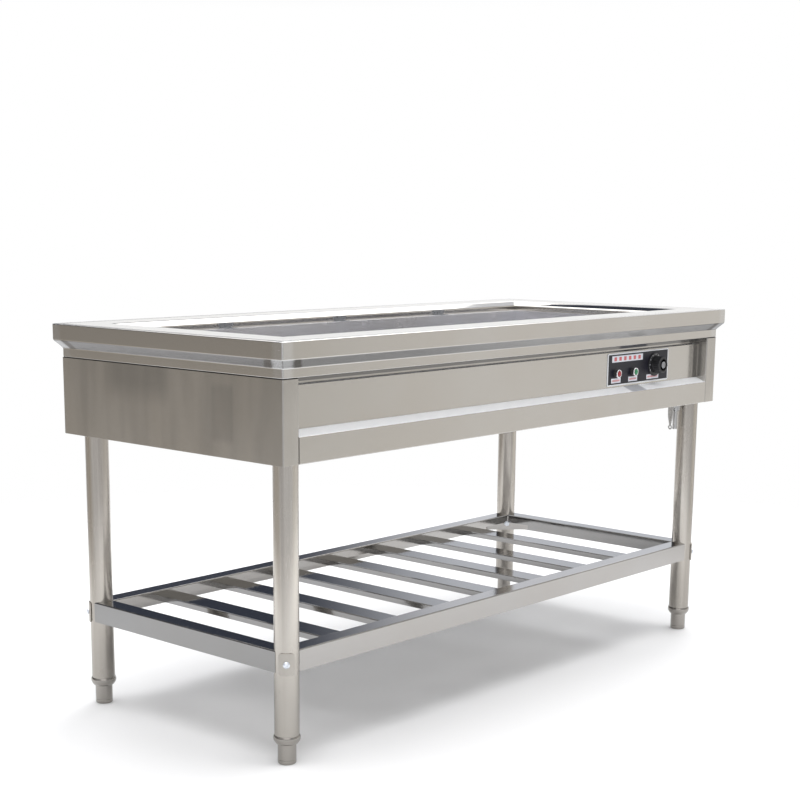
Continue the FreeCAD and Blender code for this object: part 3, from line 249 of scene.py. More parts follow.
def corner_welds_and_bevel_shade(bevel_shade_tone):
    """Rim: smoother top, painted shade on the bevel, ground mitres with a polished band and heat
    tint.
    """
    def marks(tree, colour, roughness):
        x, y, z = coordinates(tree)
        from_end = reckon(tree, "SUBTRACT", LENGTH / 2, reckon(tree, "ABSOLUTE", x))
        from_side = reckon(tree, "SUBTRACT", WIDTH / 2, reckon(tree, "ABSOLUTE", y))
        inward = reckon(tree, "MINIMUM", from_end, from_side)
        along = reckon(tree, "ABSOLUTE", reckon(tree, "SUBTRACT", from_end, from_side))
        ragged = reckon(tree, "MULTIPLY_ADD", noise(tree, object_point(tree), 60), 0.012, -0.006)
        reach = reckon(tree, "ADD", along, ragged)
        polished = remap(tree, reach, 1, 0, 0.018, 0.036, smooth=True)
        outside = remap(tree, inward, 1, 0, 0.016, 0.020, smooth=True)
        seam = remap(tree, along, 1, 0, 0.0006, 0.0016, smooth=True)
        on_top = remap(tree, inward, 0, 1, 0.016, 0.020, smooth=True)
        # Painted shade: the bevel band is darkened towards the bevel tone.
        bevel_z = TOP - FACE - BEVEL_DROP / 2
        bevel = product(tree, outside, near(tree, z, bevel_z, BEVEL_DROP / 2 - 0.001, 0.002))
        colour = blend(tree, product(tree, bevel, 0.85), colour, bevel_shade_tone)
        tint = product(tree, near(tree, reach, 0.040, 0.006, 0.008), bevel)
        colour = blend(tree, product(tree, polished, outside, 0.40), colour, (0.70, 0.71, 0.72))
        colour = blend(tree, product(tree, seam, on_top, 0.6), colour, (0.36, 0.35, 0.34))
        colour = blend(tree, product(tree, tint, 0.75), colour, (0.06, 0.05, 0.04))
        smoother = reckon(tree, "MULTIPLY", roughness, remap(tree, on_top, 1, 0.45, 0, 1))
        softened = reckon(tree, "MULTIPLY_ADD", product(tree, polished, outside), 0.06, smoother)
        return painted_seam_shade(tree, colour, z), softened
    return marks


def panel_wipes_and_painted_light(tree, colour, roughness):
    """Side sheets: upright cloudy wipe marks, a painted dark reflection near the top, a darker
    arch-shaped patch, and the painted seam shade on top.
    """
    _, y, z = coordinates(tree)
    wipes = noise(tree, object_point(tree, (1, 9, 1.6)), 1.5, detail=2)
    colour = blend(tree, remap(tree, wipes, 0, 0.30, 0.42, 0.62), colour, (0.30, 0.29, 0.27))
    # Painted reflection: a dark patch over the upper part of the sheet.
    painted_dark_reflection = product(tree, near(tree, y, 0.09, 0.06, 0.07), near(tree, z, 0.757, 0.01, 0.06))
    arch = product(tree, near(tree, y, -0.17, 0.026, 0.010), near(tree, z, 0.70, 0.045, 0.02))
    colour = blend(tree, product(tree, painted_dark_reflection, 0.35), colour, (0.20, 0.20, 0.20))
    colour = blend(tree, product(tree, arch, 0.22), colour, (0.20, 0.20, 0.20))
    return painted_seam_shade(tree, colour, z), remap(tree, wipes, 0.20, 0.28)


def scuffed_tube_floor_shade(tree, colour, roughness):
    """Leg tubes: upright bands left by polishing, and painted shade darkening them towards the
    floor.
    """
    z = coordinates(tree)[2]
    bands = noise(tree, object_point(tree, (55, 55, 0.6)), 1, detail=2)
    colour = blend(tree, remap(tree, bands, 0, 0.55, 0.42, 0.62), colour, (0.34, 0.31, 0.28))
    # Painted shade: darker towards the floor.
    painted_floor_shade = remap(tree, z, 0.62, 0, 0.10, 0.42, smooth=True)
    return blend(tree, painted_floor_shade, colour, (0.24, 0.225, 0.205)), roughness


def groove_shade(tree, colour, roughness):
    """Front sheet: painted shade in the groove under the rim, near black over the plate, and a
    painted dark reflection of the posts beside them.
    """
    x, _, z = coordinates(tree)
    # Painted shade in the groove, darker still over the plate.
    groove = remap(tree, z, 0, 1, skirt_low - 0.0125, skirt_low - 0.0105, smooth=True)
    over_plate = near(tree, x, 0.46, 0.05, 0.02)
    # Painted reflection: dark bands beside the posts.
    painted_post_reflection = near(tree, reckon(tree, "ABSOLUTE", x), post_x - 0.012, 0.007, 0.006)
    colour = blend(tree, product(tree, painted_post_reflection, 0.75), colour, (0.12, 0.115, 0.11))
    colour = blend(tree, product(tree, groove, 0.8), colour, (0.17, 0.17, 0.175))
    colour = blend(tree, product(tree, groove, over_plate, 0.8), colour, (0.03, 0.035, 0.05))
    return colour, roughness


def painted_light_sill(name):
    """Sill of the lower rail: painted light, a pale dull face standing in for the light falling on
    it, with a painted grey reflection where it lies below the control plate.
    """
    material, tree, shader = new_material(name)
    x = coordinates(tree)[0]
    grains = noise(tree, object_point(tree, (4, 120, 120)), 10, detail=4)
    # Painted light: the sill's pale colour.
    colour = blend(tree, grains, (0.84, 0.85, 0.87), (0.93, 0.94, 0.95))
    # Painted reflection of the control plate on the sill.
    painted_plate_reflection = near(tree, x, 0.435, 0.026, 0.012)
    feed(tree, blend(tree, product(tree, painted_plate_reflection, 0.75), colour, (0.30, 0.31, 0.34)),
         shader.inputs["Base Color"])
    shader.inputs["Metallic"].default_value = 0.15
    feed(tree, remap(tree, grains, 0.40, 0.55), shader.inputs["Roughness"])
    return material


def plain(name, colour, rough, metallic=0.0, spread=0.1, scale=120, bump=0.0):
    """Moulded, printed or plated surface with a slight unevenness."""
    material, tree, shader = new_material(name)
    shader.inputs["Metallic"].default_value = metallic
    grains = noise(tree, object_point(tree), scale, detail=4)
    feed(tree, blend(tree, grains, scaled(colour, 1 - spread), scaled(colour, 1 + spread)),
         shader.inputs["Base Color"])
    feed(tree, remap(tree, grains, rough * 0.8, rough * 1.2), shader.inputs["Roughness"])
    if bump:
        relief = tree.nodes.new("ShaderNodeBump")
        relief.inputs["Strength"].default_value = bump
        relief.inputs["Distance"].default_value = 0.0002
        tree.links.new(grains, relief.inputs["Height"])
        tree.links.new(relief.outputs["Normal"], shader.inputs["Normal"])
    return material


def lens(name, colour):
    """Coloured lamp lens with fine prisms behind a clear face."""
    material, tree, shader = new_material(name)
    shader.inputs["Coat Weight"].default_value = 0.6
    cells = tree.nodes.new("ShaderNodeTexVoronoi")
    cells.inputs["Scale"].default_value = 900
    tree.links.new(object_point(tree), cells.inputs["Vector"])
    shade = remap(tree, cells.outputs["Distance"], 0, 1, 0, 0.9)
    feed(tree, blend(tree, shade, scaled(colour, 0.6), scaled(colour, 1.3)),
         shader.inputs["Base Color"])
    feed(tree, remap(tree, shade, 0.12, 0.3, 0, 1), shader.inputs["Roughness"])
    return material


def mineral_fibre(name):
    material, tree, shader = new_material(name)
    strands = noise(tree, object_point(tree, (40, 40, 400)), 8, detail=6, roughness=0.7)
    feed(tree, blend(tree, strands, (0.50, 0.44, 0.28), (0.82, 0.77, 0.60)),
         shader.inputs["Base Color"])
    shader.inputs["Roughness"].default_value = 0.95
    relief = tree.nodes.new("ShaderNodeBump")
    relief.inputs["Distance"].default_value = 0.001
    tree.links.new(strands, relief.inputs["Height"])
    tree.links.new(relief.outputs["Normal"], shader.inputs["Normal"])
    return material


def printed_plate(name):
    """Black printed face with a pale border, a title strip of plain blocks and three labels."""
    material, tree, shader = new_material(name)
    low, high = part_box("control_plate")
    border = 0.0035
    x, _, z = coordinates(tree)
    grains = noise(tree, object_point(tree), 300, detail=3)
    colour = blend(tree, grains, (0.008, 0.008, 0.014), (0.020, 0.020, 0.030))

    def area(left, right, bottom, top):
        across = near(tree, x, (left + right) / 2, (right - left) / 2, 0.0004)
        upright = near(tree, z, (bottom + top) / 2, (top - bottom) / 2, 0.0004)
        return product(tree, across, upright)

    field = area(low[0] + border, high[0] - border, low[2] + border, high[2] - border)
    colour = blend(tree, field, (0.80, 0.82, 0.84), colour)
    pale = (0.78, 0.80, 0.86)
    red = (0.62, 0.06, 0.06)
    title = (low[0] + 0.0185, low[0] + 0.152, high[2] - 0.022, high[2] - 0.007)
    labels = [
        (low[0] + left, low[0] + right, low[2] + 0.007, low[2] + 0.018)
        for left, right in ((0.017, 0.057), (0.091, 0.130), (0.172, 0.226))
    ]
    for left, right, bottom, top in [title] + labels:
        colour = blend(tree, area(left, right, bottom, top), colour, pale)
    blocks = 6
    pitch = (title[1] - title[0]) / (blocks + 0.4)
    for number in range(blocks):
        middle = title[0] + pitch * (number + 0.7)
        block = area(middle - 0.0052, middle + 0.0052, title[2] + 0.003, title[3] - 0.003)
        colour = blend(tree, product(tree, block, 0.85), colour, red)
    for left, right, bottom, top in labels:
        bar = area(left + 0.004, right - 0.004, bottom + 0.0035, top - 0.0035)
        colour = blend(tree, product(tree, bar, 0.6), colour, red)
    feed(tree, colour, shader.inputs["Base Color"])
    feed(tree, remap(tree, grains, 0.32, 0.44), shader.inputs["Roughness"])
    shader.inputs["Specular IOR Level"].default_value = 0.35
    return material


sheet_x = brushed_steel("sheet_grain_along_x", "X")
# The front sheet carries painted shade and reflection from its marks.
front_finish = brushed_steel("front_sheet_grain", "X", marks=groove_shade)
side_finish = brushed_steel("side_sheet_grain", "Y", marks=panel_wipes_and_painted_light)
# Painted shade on the rim's bevel: darker on the end lengths (grain along Y) than on the long
# sides.
rim_x = brushed_steel("rim_grain_along_x", "X", marks=corner_welds_and_bevel_shade((0.17, 0.17, 0.17)))
rim_y = brushed_steel("rim_grain_along_y", "Y", marks=corner_welds_and_bevel_shade((0.09, 0.09, 0.095)))
# Painted light: paler and bluer than the other sheet, for the light on the basin walls.
basin_sheet_painted_light = brushed_steel("basin_sheet_painted_light", "X", tone=(0.74, 0.75, 0.79), rough=(0.25, 0.28))
sill_face_painted_light = painted_light_sill("painted_light_sill")
shelf_x = brushed_steel("shelf_grain_along_x", "X", tone=(0.40, 0.39, 0.38), rough=(0.07, 0.12),
                        wave=0.0005)
# Painted shade: darker tone than the rails along X, for the end rails and the slats.
shelf_y_painted_shade = brushed_steel("shelf_grain_y_painted_shade", "Y", tone=(0.28, 0.28, 0.28), rough=(0.06, 0.11),
                        wave=0.0005)
tube = brushed_steel("leg_tube", "Z", tone=(0.66, 0.63, 0.585), rough=(0.20, 0.30),
                     marks=scuffed_tube_floor_shade)
saddle_steel = brushed_steel("saddle_steel", "Z", tone=(0.44, 0.42, 0.39), rough=(0.30, 0.38))
turned_steel = brushed_steel("turned_foot_steel", "Z", tone=(0.34, 0.325, 0.305))
bright = plain("bright_metal", (0.80, 0.80, 0.82), 0.14, metallic=1.0)
zinc = plain("zinc_plated", (0.80, 0.84, 0.90), 0.34, metallic=1.0)
dull = plain("plain_steel", (0.56, 0.56, 0.56), 0.32, metallic=1.0, bump=0.1)
sheath = plain("heater_sheath", (0.30, 0.28, 0.26), 0.45, metallic=1.0)
plate_print = printed_plate("printed_black_plate")
cap_metal = plain("cap_metal", (0.34, 0.35, 0.37), 0.30, metallic=1.0)
black_knob = plain("knob_black", (0.020, 0.020, 0.022), 0.38, scale=500, bump=0.1)
scale_paint = plain("scale_paint", (0.78, 0.80, 0.84), 0.5)
dark_plastic = plain("dark_plastic", (0.05, 0.05, 0.05), 0.5, scale=500, bump=0.1)
pale_plastic = plain("pale_plastic", (0.78, 0.78, 0.74), 0.45, scale=500, bump=0.1)
fibre = mineral_fibre("mineral_fibre")
sleeve = plain("wire_sleeve", (0.2, 0.2, 0.22), 0.5, scale=900, bump=0.3)
red_lens = lens("red_lens", (0.34, 0.012, 0.02))
green_lens = lens("green_lens", (0.006, 0.22, 0.08))

NODE_MATERIALS = (
    (sheet_x, ("back_panel", "bottom_panel", "heater_guard")),
    (basin_sheet_painted_light, ("basin", "basin_floor")),
    (zinc, ("panel_screws", "leg_bolts", "leg_nuts", "heater_nuts")),
    (shelf_x, ("shelf_corner_gussets",)),
    (cap_metal, ("pan_divider_brackets",)),
    (dull, ("leg_sockets", "drain_fitting", "drain_pipe",
            "valve_body", "valve_ball", "thermostat_shaft", "thermostat_bulb")),
    (sheath, ("heater_front", "heater_rear")),
    (dark_plastic, ("thermostat_body", "cable_gland", "lamp_bodies")),
    (pale_plastic, ("terminal_block",)),
    (fibre, ("insulation_board",)),
    (sleeve, ("wiring_loom",)),
)


def dress_nodes():
    for material, names in NODE_MATERIALS:
        for name in names:
            mesh = cad[name].data
            mesh.materials.clear()
            mesh.materials.append(material)


# Modelling helpers

def centre_of(item):
    """Middle of a point, edge or face of a mesh that is being edited."""
    if isinstance(item, bmesh.types.BMVert):
        return item.co
    if isinstance(item, bmesh.types.BMEdge):
        return (item.verts[0].co + item.verts[1].co) / 2
    return item.calc_center_median()


def pick(kind, test):
    """In edit mode, selects the points, edges or faces that pass the test."""
    bpy.ops.mesh.select_mode(type=kind)
    bpy.ops.mesh.select_all(action="DESELECT")
    mesh = bpy.context.edit_object.data
    shape = bmesh.from_edit_mesh(mesh)
    for item in {"VERT": shape.verts, "EDGE": shape.edges, "FACE": shape.faces}[kind]:
        if test(item):
            item.select_set(True)
    shape.select_flush_mode()
    bmesh.update_edit_mesh(mesh)


def choose(piece):
    """Makes one object the only selected and the active one."""
    bpy.ops.object.select_all(action="DESELECT")
    piece.select_set(True)
    bpy.context.view_layer.objects.active = piece


def settle():
    """Puts a new object's place, turn and size into its mesh."""
    bpy.ops.object.transform_apply(location=True, rotation=True, scale=True)


def start_plane(middle, across, upwards):
    """A plane at its size and place, spanned by two vectors and left in edit mode."""
    bpy.ops.object.select_all(action="DESELECT")
    bpy.ops.mesh.primitive_plane_add(size=1, location=middle)
    piece = bpy.context.active_object
    normal = across.normalized().cross(upwards.normalized())
    frame_axes = Matrix((across.normalized(), upwards.normalized(), normal)).transposed()
    piece.rotation_euler = frame_axes.to_euler()
    piece.scale = (across.length, upwards.length, 1)
    settle()
    bpy.ops.object.mode_set(mode="EDIT")
    return piece


def draw_out(step):
    bpy.ops.mesh.extrude_region_move(TRANSFORM_OT_translate={"value": step})


def applied(piece, kind, **settings):
    """Adds one modifier to the active piece and applies it."""
    modifier = piece.modifiers.new(kind.lower(), kind)
    for setting, value in settings.items():
        setattr(modifier, setting, value)
    bpy.ops.object.modifier_apply(modifier=modifier.name)


def give_gauge(piece, gauge, offset):
    applied(piece, "SOLIDIFY", thickness=gauge, offset=offset, use_even_offset=True)


def finish_piece(piece, name, material, nodes, body="counter_frame", edge=0.0003):
    """Softens sharp edges, shades, names and hands a piece over to the frame."""
    if bpy.context.mode == "EDIT_MESH":
        bpy.ops.object.mode_set(mode="OBJECT")
    if edge:
        applied(piece, "BEVEL", width=edge, segments=2, limit_method="ANGLE",
                angle_limit=math.radians(55))
    bpy.ops.object.shade_smooth_by_angle(angle=math.radians(50))
    applied(piece, "WEIGHTED_NORMAL", keep_sharp=True, weight=80)
    piece.name = name
    if material:
        piece.data.materials.append(material)
    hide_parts(*nodes)
    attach(piece, body)
    return piece


def placed_copy(piece, place):
    """Copy with its own mesh, standing at a place given as a matrix."""
    twin = piece.copy()
    twin.data = piece.data.copy()
    bpy.context.scene.collection.objects.link(twin)
    twin.parent = None
    twin.matrix_world = place
    choose(twin)
    settle()
    return twin


def copy_piece(piece, name, nodes, body="counter_frame", shift=(0, 0, 0), turn=0):
    """Copy of a finished piece, turned about the upright axis and moved."""
    twin = placed_copy(piece, Matrix.Translation(shift) @ Matrix.Rotation(turn, 4, "Z"))
    twin.name = name
    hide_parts(*nodes)
    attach(twin, body)
    return twin


ACROSS = {"X": (1, 2), "Y": (0, 2), "Z": (0, 1)}


def spread(along, station, point):
    """Place of a section point at one station along an axis."""
    place = [0.0, 0.0, 0.0]
    place["XYZ".index(along)] = station
    place[ACROSS[along][0]], place[ACROSS[along][1]] = point
    return Vector(place)


def folded_strip(along, start, stop, points, gauge, side, bend=0.002):
    """Folded sheet: a plane drawn out over each fold, its folds rounded, then given its gauge."""
    first, second = (spread(along, start, point) for point in points[:2])
    run = spread(along, stop, points[0]) - first
    leg = second - first
    piece = start_plane(first + run / 2 + leg / 2, leg, run)
    second_middle = second + run / 2
    pick("EDGE", lambda edge: (centre_of(edge) - second_middle).length < 1e-5)
    for here, there in zip(points[1:], points[2:]):
        draw_out(spread(along, 0, there) - spread(along, 0, here))
    if len(points) > 2:
        pick("EDGE", lambda edge: len(edge.link_faces) == 2)
        bpy.ops.mesh.bevel(offset=bend, segments=3, affect="EDGES")
    bpy.ops.object.mode_set(mode="OBJECT")
    rise = points[1][1] - points[0][1]
    reach = points[1][0] - points[0][0]
    left = spread(along, 0, (-rise, reach))
    normal = leg.cross(run)
    give_gauge(piece, gauge, side if normal.dot(left) > 0 else -side)
    return piece


def turned(axis, centre, outline, sides=48):
    """Round piece: a circle drawn out ring by ring along its axis; outline is (station, radius)."""
    bpy.ops.object.select_all(action="DESELECT")
    axis = Vector(axis).normalized()
    centre = Vector(centre)
    station, radius = outline[0]
    bpy.ops.mesh.primitive_circle_add(vertices=sides, radius=radius, fill_type="NOTHING",
                                      location=centre + axis * station)
    piece = bpy.context.active_object
    piece.rotation_euler = Vector((0, 0, 1)).rotation_difference(axis).to_euler()
    settle()
    bpy.ops.object.mode_set(mode="EDIT")
    bpy.ops.mesh.select_mode(type="EDGE")
    bpy.ops.mesh.select_all(action="SELECT")
    closed = outline[0] == outline[-1]
    if not closed:
        bpy.ops.mesh.edge_face_add()
    for next_station, next_radius in outline[1:]:
        draw_out(axis * (next_station - station))
        factor = next_radius / radius
        middle = centre + axis * next_station
        bpy.ops.transform.resize(value=(factor, factor, factor), center_override=middle)
        station, radius = next_station, next_radius
    bpy.ops.mesh.select_all(action="SELECT")
    if closed:
        bpy.ops.mesh.remove_doubles(threshold=1e-6)
    bpy.ops.mesh.normals_make_consistent(inside=False)
    bpy.ops.object.mode_set(mode="OBJECT")
    return piece


def joined(pieces):
    """Several meshes of one piece made one object."""
    bpy.ops.object.select_all(action="DESELECT")
    for piece in pieces:
        piece.select_set(True)
    bpy.context.view_layer.objects.active = pieces[0]
    bpy.ops.object.join()
    return pieces[0]


# Rim and body

def make_rim():
    """Welded rim: the flat top inset to its slope and lip, its outside drawn down and folded in."""
    rim = start_plane(Vector((0, 0, TOP)), Vector((LENGTH, 0, 0)), Vector((0, WIDTH, 0)))
    bpy.ops.mesh.inset(thickness=FLANGE, depth=0)
    bpy.ops.mesh.inset(thickness=SLOPE, depth=-SLOPE)
    draw_out((0, 0, -LIP))
    bpy.ops.mesh.delete(type="FACE")

    def on_outside(edge):
        middle = centre_of(edge)
        return (abs(abs(middle.x) - LENGTH / 2) < 1e-5
                or abs(abs(middle.y) - WIDTH / 2) < 1e-5)

    def shrink_ring(run, length, width):
        factors = ((length - 2 * run) / length, (width - 2 * run) / width, 1)
        bpy.ops.transform.resize(value=factors, center_override=(0, 0, 0))

    pick("EDGE", on_outside)
    draw_out((0, 0, -FACE))
    draw_out((0, 0, -BEVEL_DROP))
    shrink_ring(BEVEL_RUN, LENGTH, WIDTH)
    draw_out((0, 0, -SKIRT))
    draw_out((0, 0, 0))
    shrink_ring(RETURN, LENGTH - 2 * BEVEL_RUN, WIDTH - 2 * BEVEL_RUN)

    def outer_corner(edge):
        middle = centre_of(edge)
        upright = abs(edge.verts[0].co.z - edge.verts[1].co.z) > 0.001
        return upright and abs(middle.x) > lip_x + 0.01 and abs(middle.y) > lip_y + 0.01

    pick("EDGE", outer_corner)
    bpy.ops.mesh.bevel(offset=0.0035, segments=4, affect="EDGES")

    def level_fold(edge):
        level = abs(edge.verts[0].co.z - edge.verts[1].co.z) < 1e-5
        return level and len(edge.link_faces) == 2 and edge.calc_face_angle(0) > 0.2

    pick("EDGE", level_fold)
    bpy.ops.mesh.bevel(offset=0.0024, segments=3, affect="EDGES")
    bpy.ops.object.mode_set(mode="OBJECT")
    give_gauge(rim, RIM_GAUGE, -1)
    rim.data.materials.append(rim_x)
    rim.data.materials.append(rim_y)
    bpy.ops.object.mode_set(mode="EDIT")

    def on_end_length(face):
        middle = centre_of(face)
        return LENGTH / 2 - abs(middle.x) < WIDTH / 2 - abs(middle.y)

    pick("FACE", on_end_length)
    rim.active_material_index = 1
    bpy.ops.object.material_slot_assign()
    finish_piece(rim, "welded_rim", None, ["top_rim"], edge=0)


def make_side_panels():
    """Side panels: end wall with the folded front post, its inner return and the rear return."""
    return_low = sill_low - 0.010
    flange_edge = leg_x - LEG_RADIUS - FLANGE_OVERHANG
    for side, label in ((-1, "left"), (1, "right")):
        wall = folded_strip("Z", body_low, skirt_low - 0.0003, [
            (post_x * side, -reveal_y),
            (post_x * side, -body_y),
            (body_x * side, -body_y),
            (body_x * side, body_y),
            ((body_x - FOLD) * side, body_y),
        ], SHEET, side, bend=0.0028)
        bpy.ops.object.mode_set(mode="EDIT")

        def inner_return(face):
            middle = centre_of(face)
            return abs(middle.x) < post_x + 0.002 and middle.y > -body_y + 0.003

        pick("FACE", inner_return)
        bpy.ops.mesh.bisect(plane_co=(0, 0, return_low), plane_no=(0, 0, 1))
        pick("FACE", lambda face: inner_return(face) and centre_of(face).z < return_low)
        bpy.ops.mesh.delete(type="FACE")
        bpy.ops.object.mode_set(mode="OBJECT")
        flange = start_plane(
            Vector(((body_x + flange_edge) / 2 * side, FOLD / 2, body_low + SHEET)),
            Vector((body_x - flange_edge - SHEET * 2, 0, 0)),
            Vector((0, body_y * 2 - FOLD - SHEET * 2, 0)),
        )
        bpy.ops.object.mode_set(mode="OBJECT")
        give_gauge(flange, SHEET, -1)
        panel = joined([wall, flange])
        finish_piece(panel, f"{label}_side_sheet", side_finish,
                     [f"{label}_side_panel"])


def make_front_panel():
    """Recessed front sheet with the groove over it, a hair short of the posts."""
    reach = post_x - 0.0002
    ceiling = skirt_low - SHEET
    ledge = skirt_low - REVEAL_HEIGHT
    panel = folded_strip("X", -reach, reach, [
        (-body_y + 0.010, ceiling),
        (-reveal_y, ceiling),
        (-reveal_y, ledge),
        (-panel_y, ledge),
        (-panel_y, sill_high + 0.0003),
    ], SHEET, 1, bend=0.0016)
    panel.data.materials.append(front_finish)
    panel.data.materials.append(sill_face_painted_light)
    bpy.ops.object.mode_set(mode="EDIT")
    # Painted light: the groove's upward ledge face takes the sill's pale painted-light material.
    pick("FACE", lambda face: face.normal.z > 0.8 and abs(centre_of(face).z - ledge) < 0.002)
    panel.active_material_index = 1
    bpy.ops.object.material_slot_assign()
    finish_piece(panel, "front_sheet", None, ["front_panel"])


def make_lower_rail():
    """Lower rail of the front with its sloping sill, a hair short of the posts."""
    reach = post_x - 0.0006
    back = -panel_y + SHEET
    rail = folded_strip("X", -reach, reach, [
        (-body_y + FOLD, body_low),
        (-body_y, body_low),
        (-body_y, sill_low),
        (back, sill_high),
        (back, sill_high + 0.014),
    ], SHEET, -1, bend=0.0016)
    rail.data.materials.append(sheet_x)
    rail.data.materials.append(sill_face_painted_light)
    bpy.ops.object.mode_set(mode="EDIT")
    # Painted light: the sill faces take the sill's pale painted-light material.
    pick("FACE", lambda face: face.normal.z > 0.8 and centre_of(face).z > sill_low - 0.001)
    rail.active_material_index = 1
    bpy.ops.object.material_slot_assign()
    finish_piece(rail, "lower_front_sheet", None, ["front_lower_rail"])


# Legs and shelf

def make_legs():
    """Leg tube, ring and foot, each turned once at one corner and copied to the others."""
    corners = ("front_left", "front_right", "rear_left", "rear_right")
    tube_piece = turned((0, 0, 1), (-leg_x, -leg_y, 0), [
        (LEG_LOW, LEG_RADIUS),
        (body_low, LEG_RADIUS),
        (body_low, LEG_RADIUS - LEG_WALL),
        (LEG_LOW, LEG_RADIUS - LEG_WALL),
        (LEG_LOW, LEG_RADIUS),
    ], sides=64)
    collar = turned((0, 0, 1), (-leg_x, -leg_y, 0), [
        (0.0420, 0.0205),
        (0.0425, 0.0225),
        (0.0460, 0.0250),
        (0.0500, 0.0273),
        (0.0540, 0.0280),
        (0.0575, 0.0276),
        (0.0600, 0.0262),
        (0.0600, 0.0237),
        (0.0980, 0.0237),
        (0.1000, 0.0217),
        (0.1000, 0.01905),
        (0.0420, 0.01905),
        (0.0420, 0.0205),
    ], sides=64)
    foot = turned((0, 0, 1), (-leg_x, -leg_y, 0), [
        (0, 0.0172),
        (0.0010, 0.0184),
        (0.0022, 0.0190),
        (0.0080, 0.0190),
        (0.0088, 0.0183),
        (0.0100, 0.0183),
        (0.0108, 0.0190),
        (0.0940, 0.0190),
        (0.0950, 0.0180),
    ], sides=64)
    for piece, label, node, material, slot in (
        (tube_piece, "leg_tube", "leg", tube, "tube_steel"),
        (collar, "leg_ring", "leg_collars", turned_steel, "foot_steel"),
        (foot, "levelling_foot", "foot", turned_steel, "foot_steel"),
    ):
        for (side, end), corner in zip(LEG_SPOTS, corners):
            body = f"levelling_foot_{corner}" if node == "foot" else "counter_frame"
            nodes = [node] if node == "leg_collars" else [f"{node}_{corner}"]
            name = f"{label}_{corner}"
            if corner == corners[0]:
                choose(piece)
                finish_piece(piece, name, material, nodes, body)
            else:
                shift = ((side + 1) * leg_x, (end + 1) * leg_y, 0)
                copy_piece(piece, name, nodes, body, shift)


def cope_ends(rail, spots):
    """Hollows the ends of a rail to the round of the legs."""
    for spot in spots:
        bpy.ops.mesh.primitive_cylinder_add(vertices=96, radius=LEG_RADIUS + 0.0004, depth=0.2,
                                            location=(leg_x * spot[0], leg_y * spot[1], 0.21))
        cutter = bpy.context.active_object
        choose(rail)
        applied(rail, "BOOLEAN", operation="DIFFERENCE", object=cutter, solver="EXACT")
        bpy.data.objects.remove(cutter)


def make_shelf():
    """Four folded rails with ends hollowed to the legs, around seven folded slats."""
    rail_x = LENGTH / 2 - SHELF_END_INSET
    rail_y = WIDTH / 2 - SHELF_SIDE_INSET
    low = SHELF_TOP - SHELF_WALL
    lip_low = SHELF_TOP - SHELF_LIP
    long_end = leg_x - 0.0150
    short_end = leg_y - 0.0055
    for along, reach, outer, side, label, material in (
        ("X", long_end, rail_y, -1, "front", shelf_x),
        ("X", long_end, rail_y, 1, "rear", shelf_x),
        ("Y", short_end, rail_x, -1, "left", shelf_y_painted_shade),
        ("Y", short_end, rail_x, 1, "right", shelf_y_painted_shade),
    ):
        inner = outer - SHELF_FLANGE
        rail = folded_strip(along, -reach, reach, [
            (outer * side, low),
            (outer * side, SHELF_TOP),
            (inner * side, SHELF_TOP),
            (inner * side, lip_low),
        ], SHELF_GAUGE, side, bend=0.0026)
        across = 0 if along == "Y" else 1
        cope_ends(rail, [spot for spot in LEG_SPOTS if spot[across] == side])
        finish_piece(rail, f"shelf_sheet_{label}", material,
                     [f"shelf_{label}_rail"])
    half = SLAT_WIDTH / 2
    slat_low = lip_low - SLAT_SIDE
    first_low, first_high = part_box("shelf_slat_1")
    slat_y = (first_high[1] - first_low[1]) / 2
    middle = (first_low[0] + first_high[0]) / 2
    slat = folded_strip("Y", -slat_y, slat_y, [
        (middle - half, slat_low),
        (middle - half, lip_low),
        (middle + half, lip_low),
        (middle + half, slat_low),
    ], SHEET, -1, bend=0.0022)
    first = finish_piece(slat, "shelf_bar_1", shelf_y_painted_shade, ["shelf_slat_1"])
    for number in range(2, 8):
        node = f"shelf_slat_{number}"
        low_corner, high_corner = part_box(node)
        shift = (low_corner[0] + high_corner[0]) / 2 - middle
        copy_piece(first, f"shelf_bar_{number}", [node], shift=(shift, 0, 0))


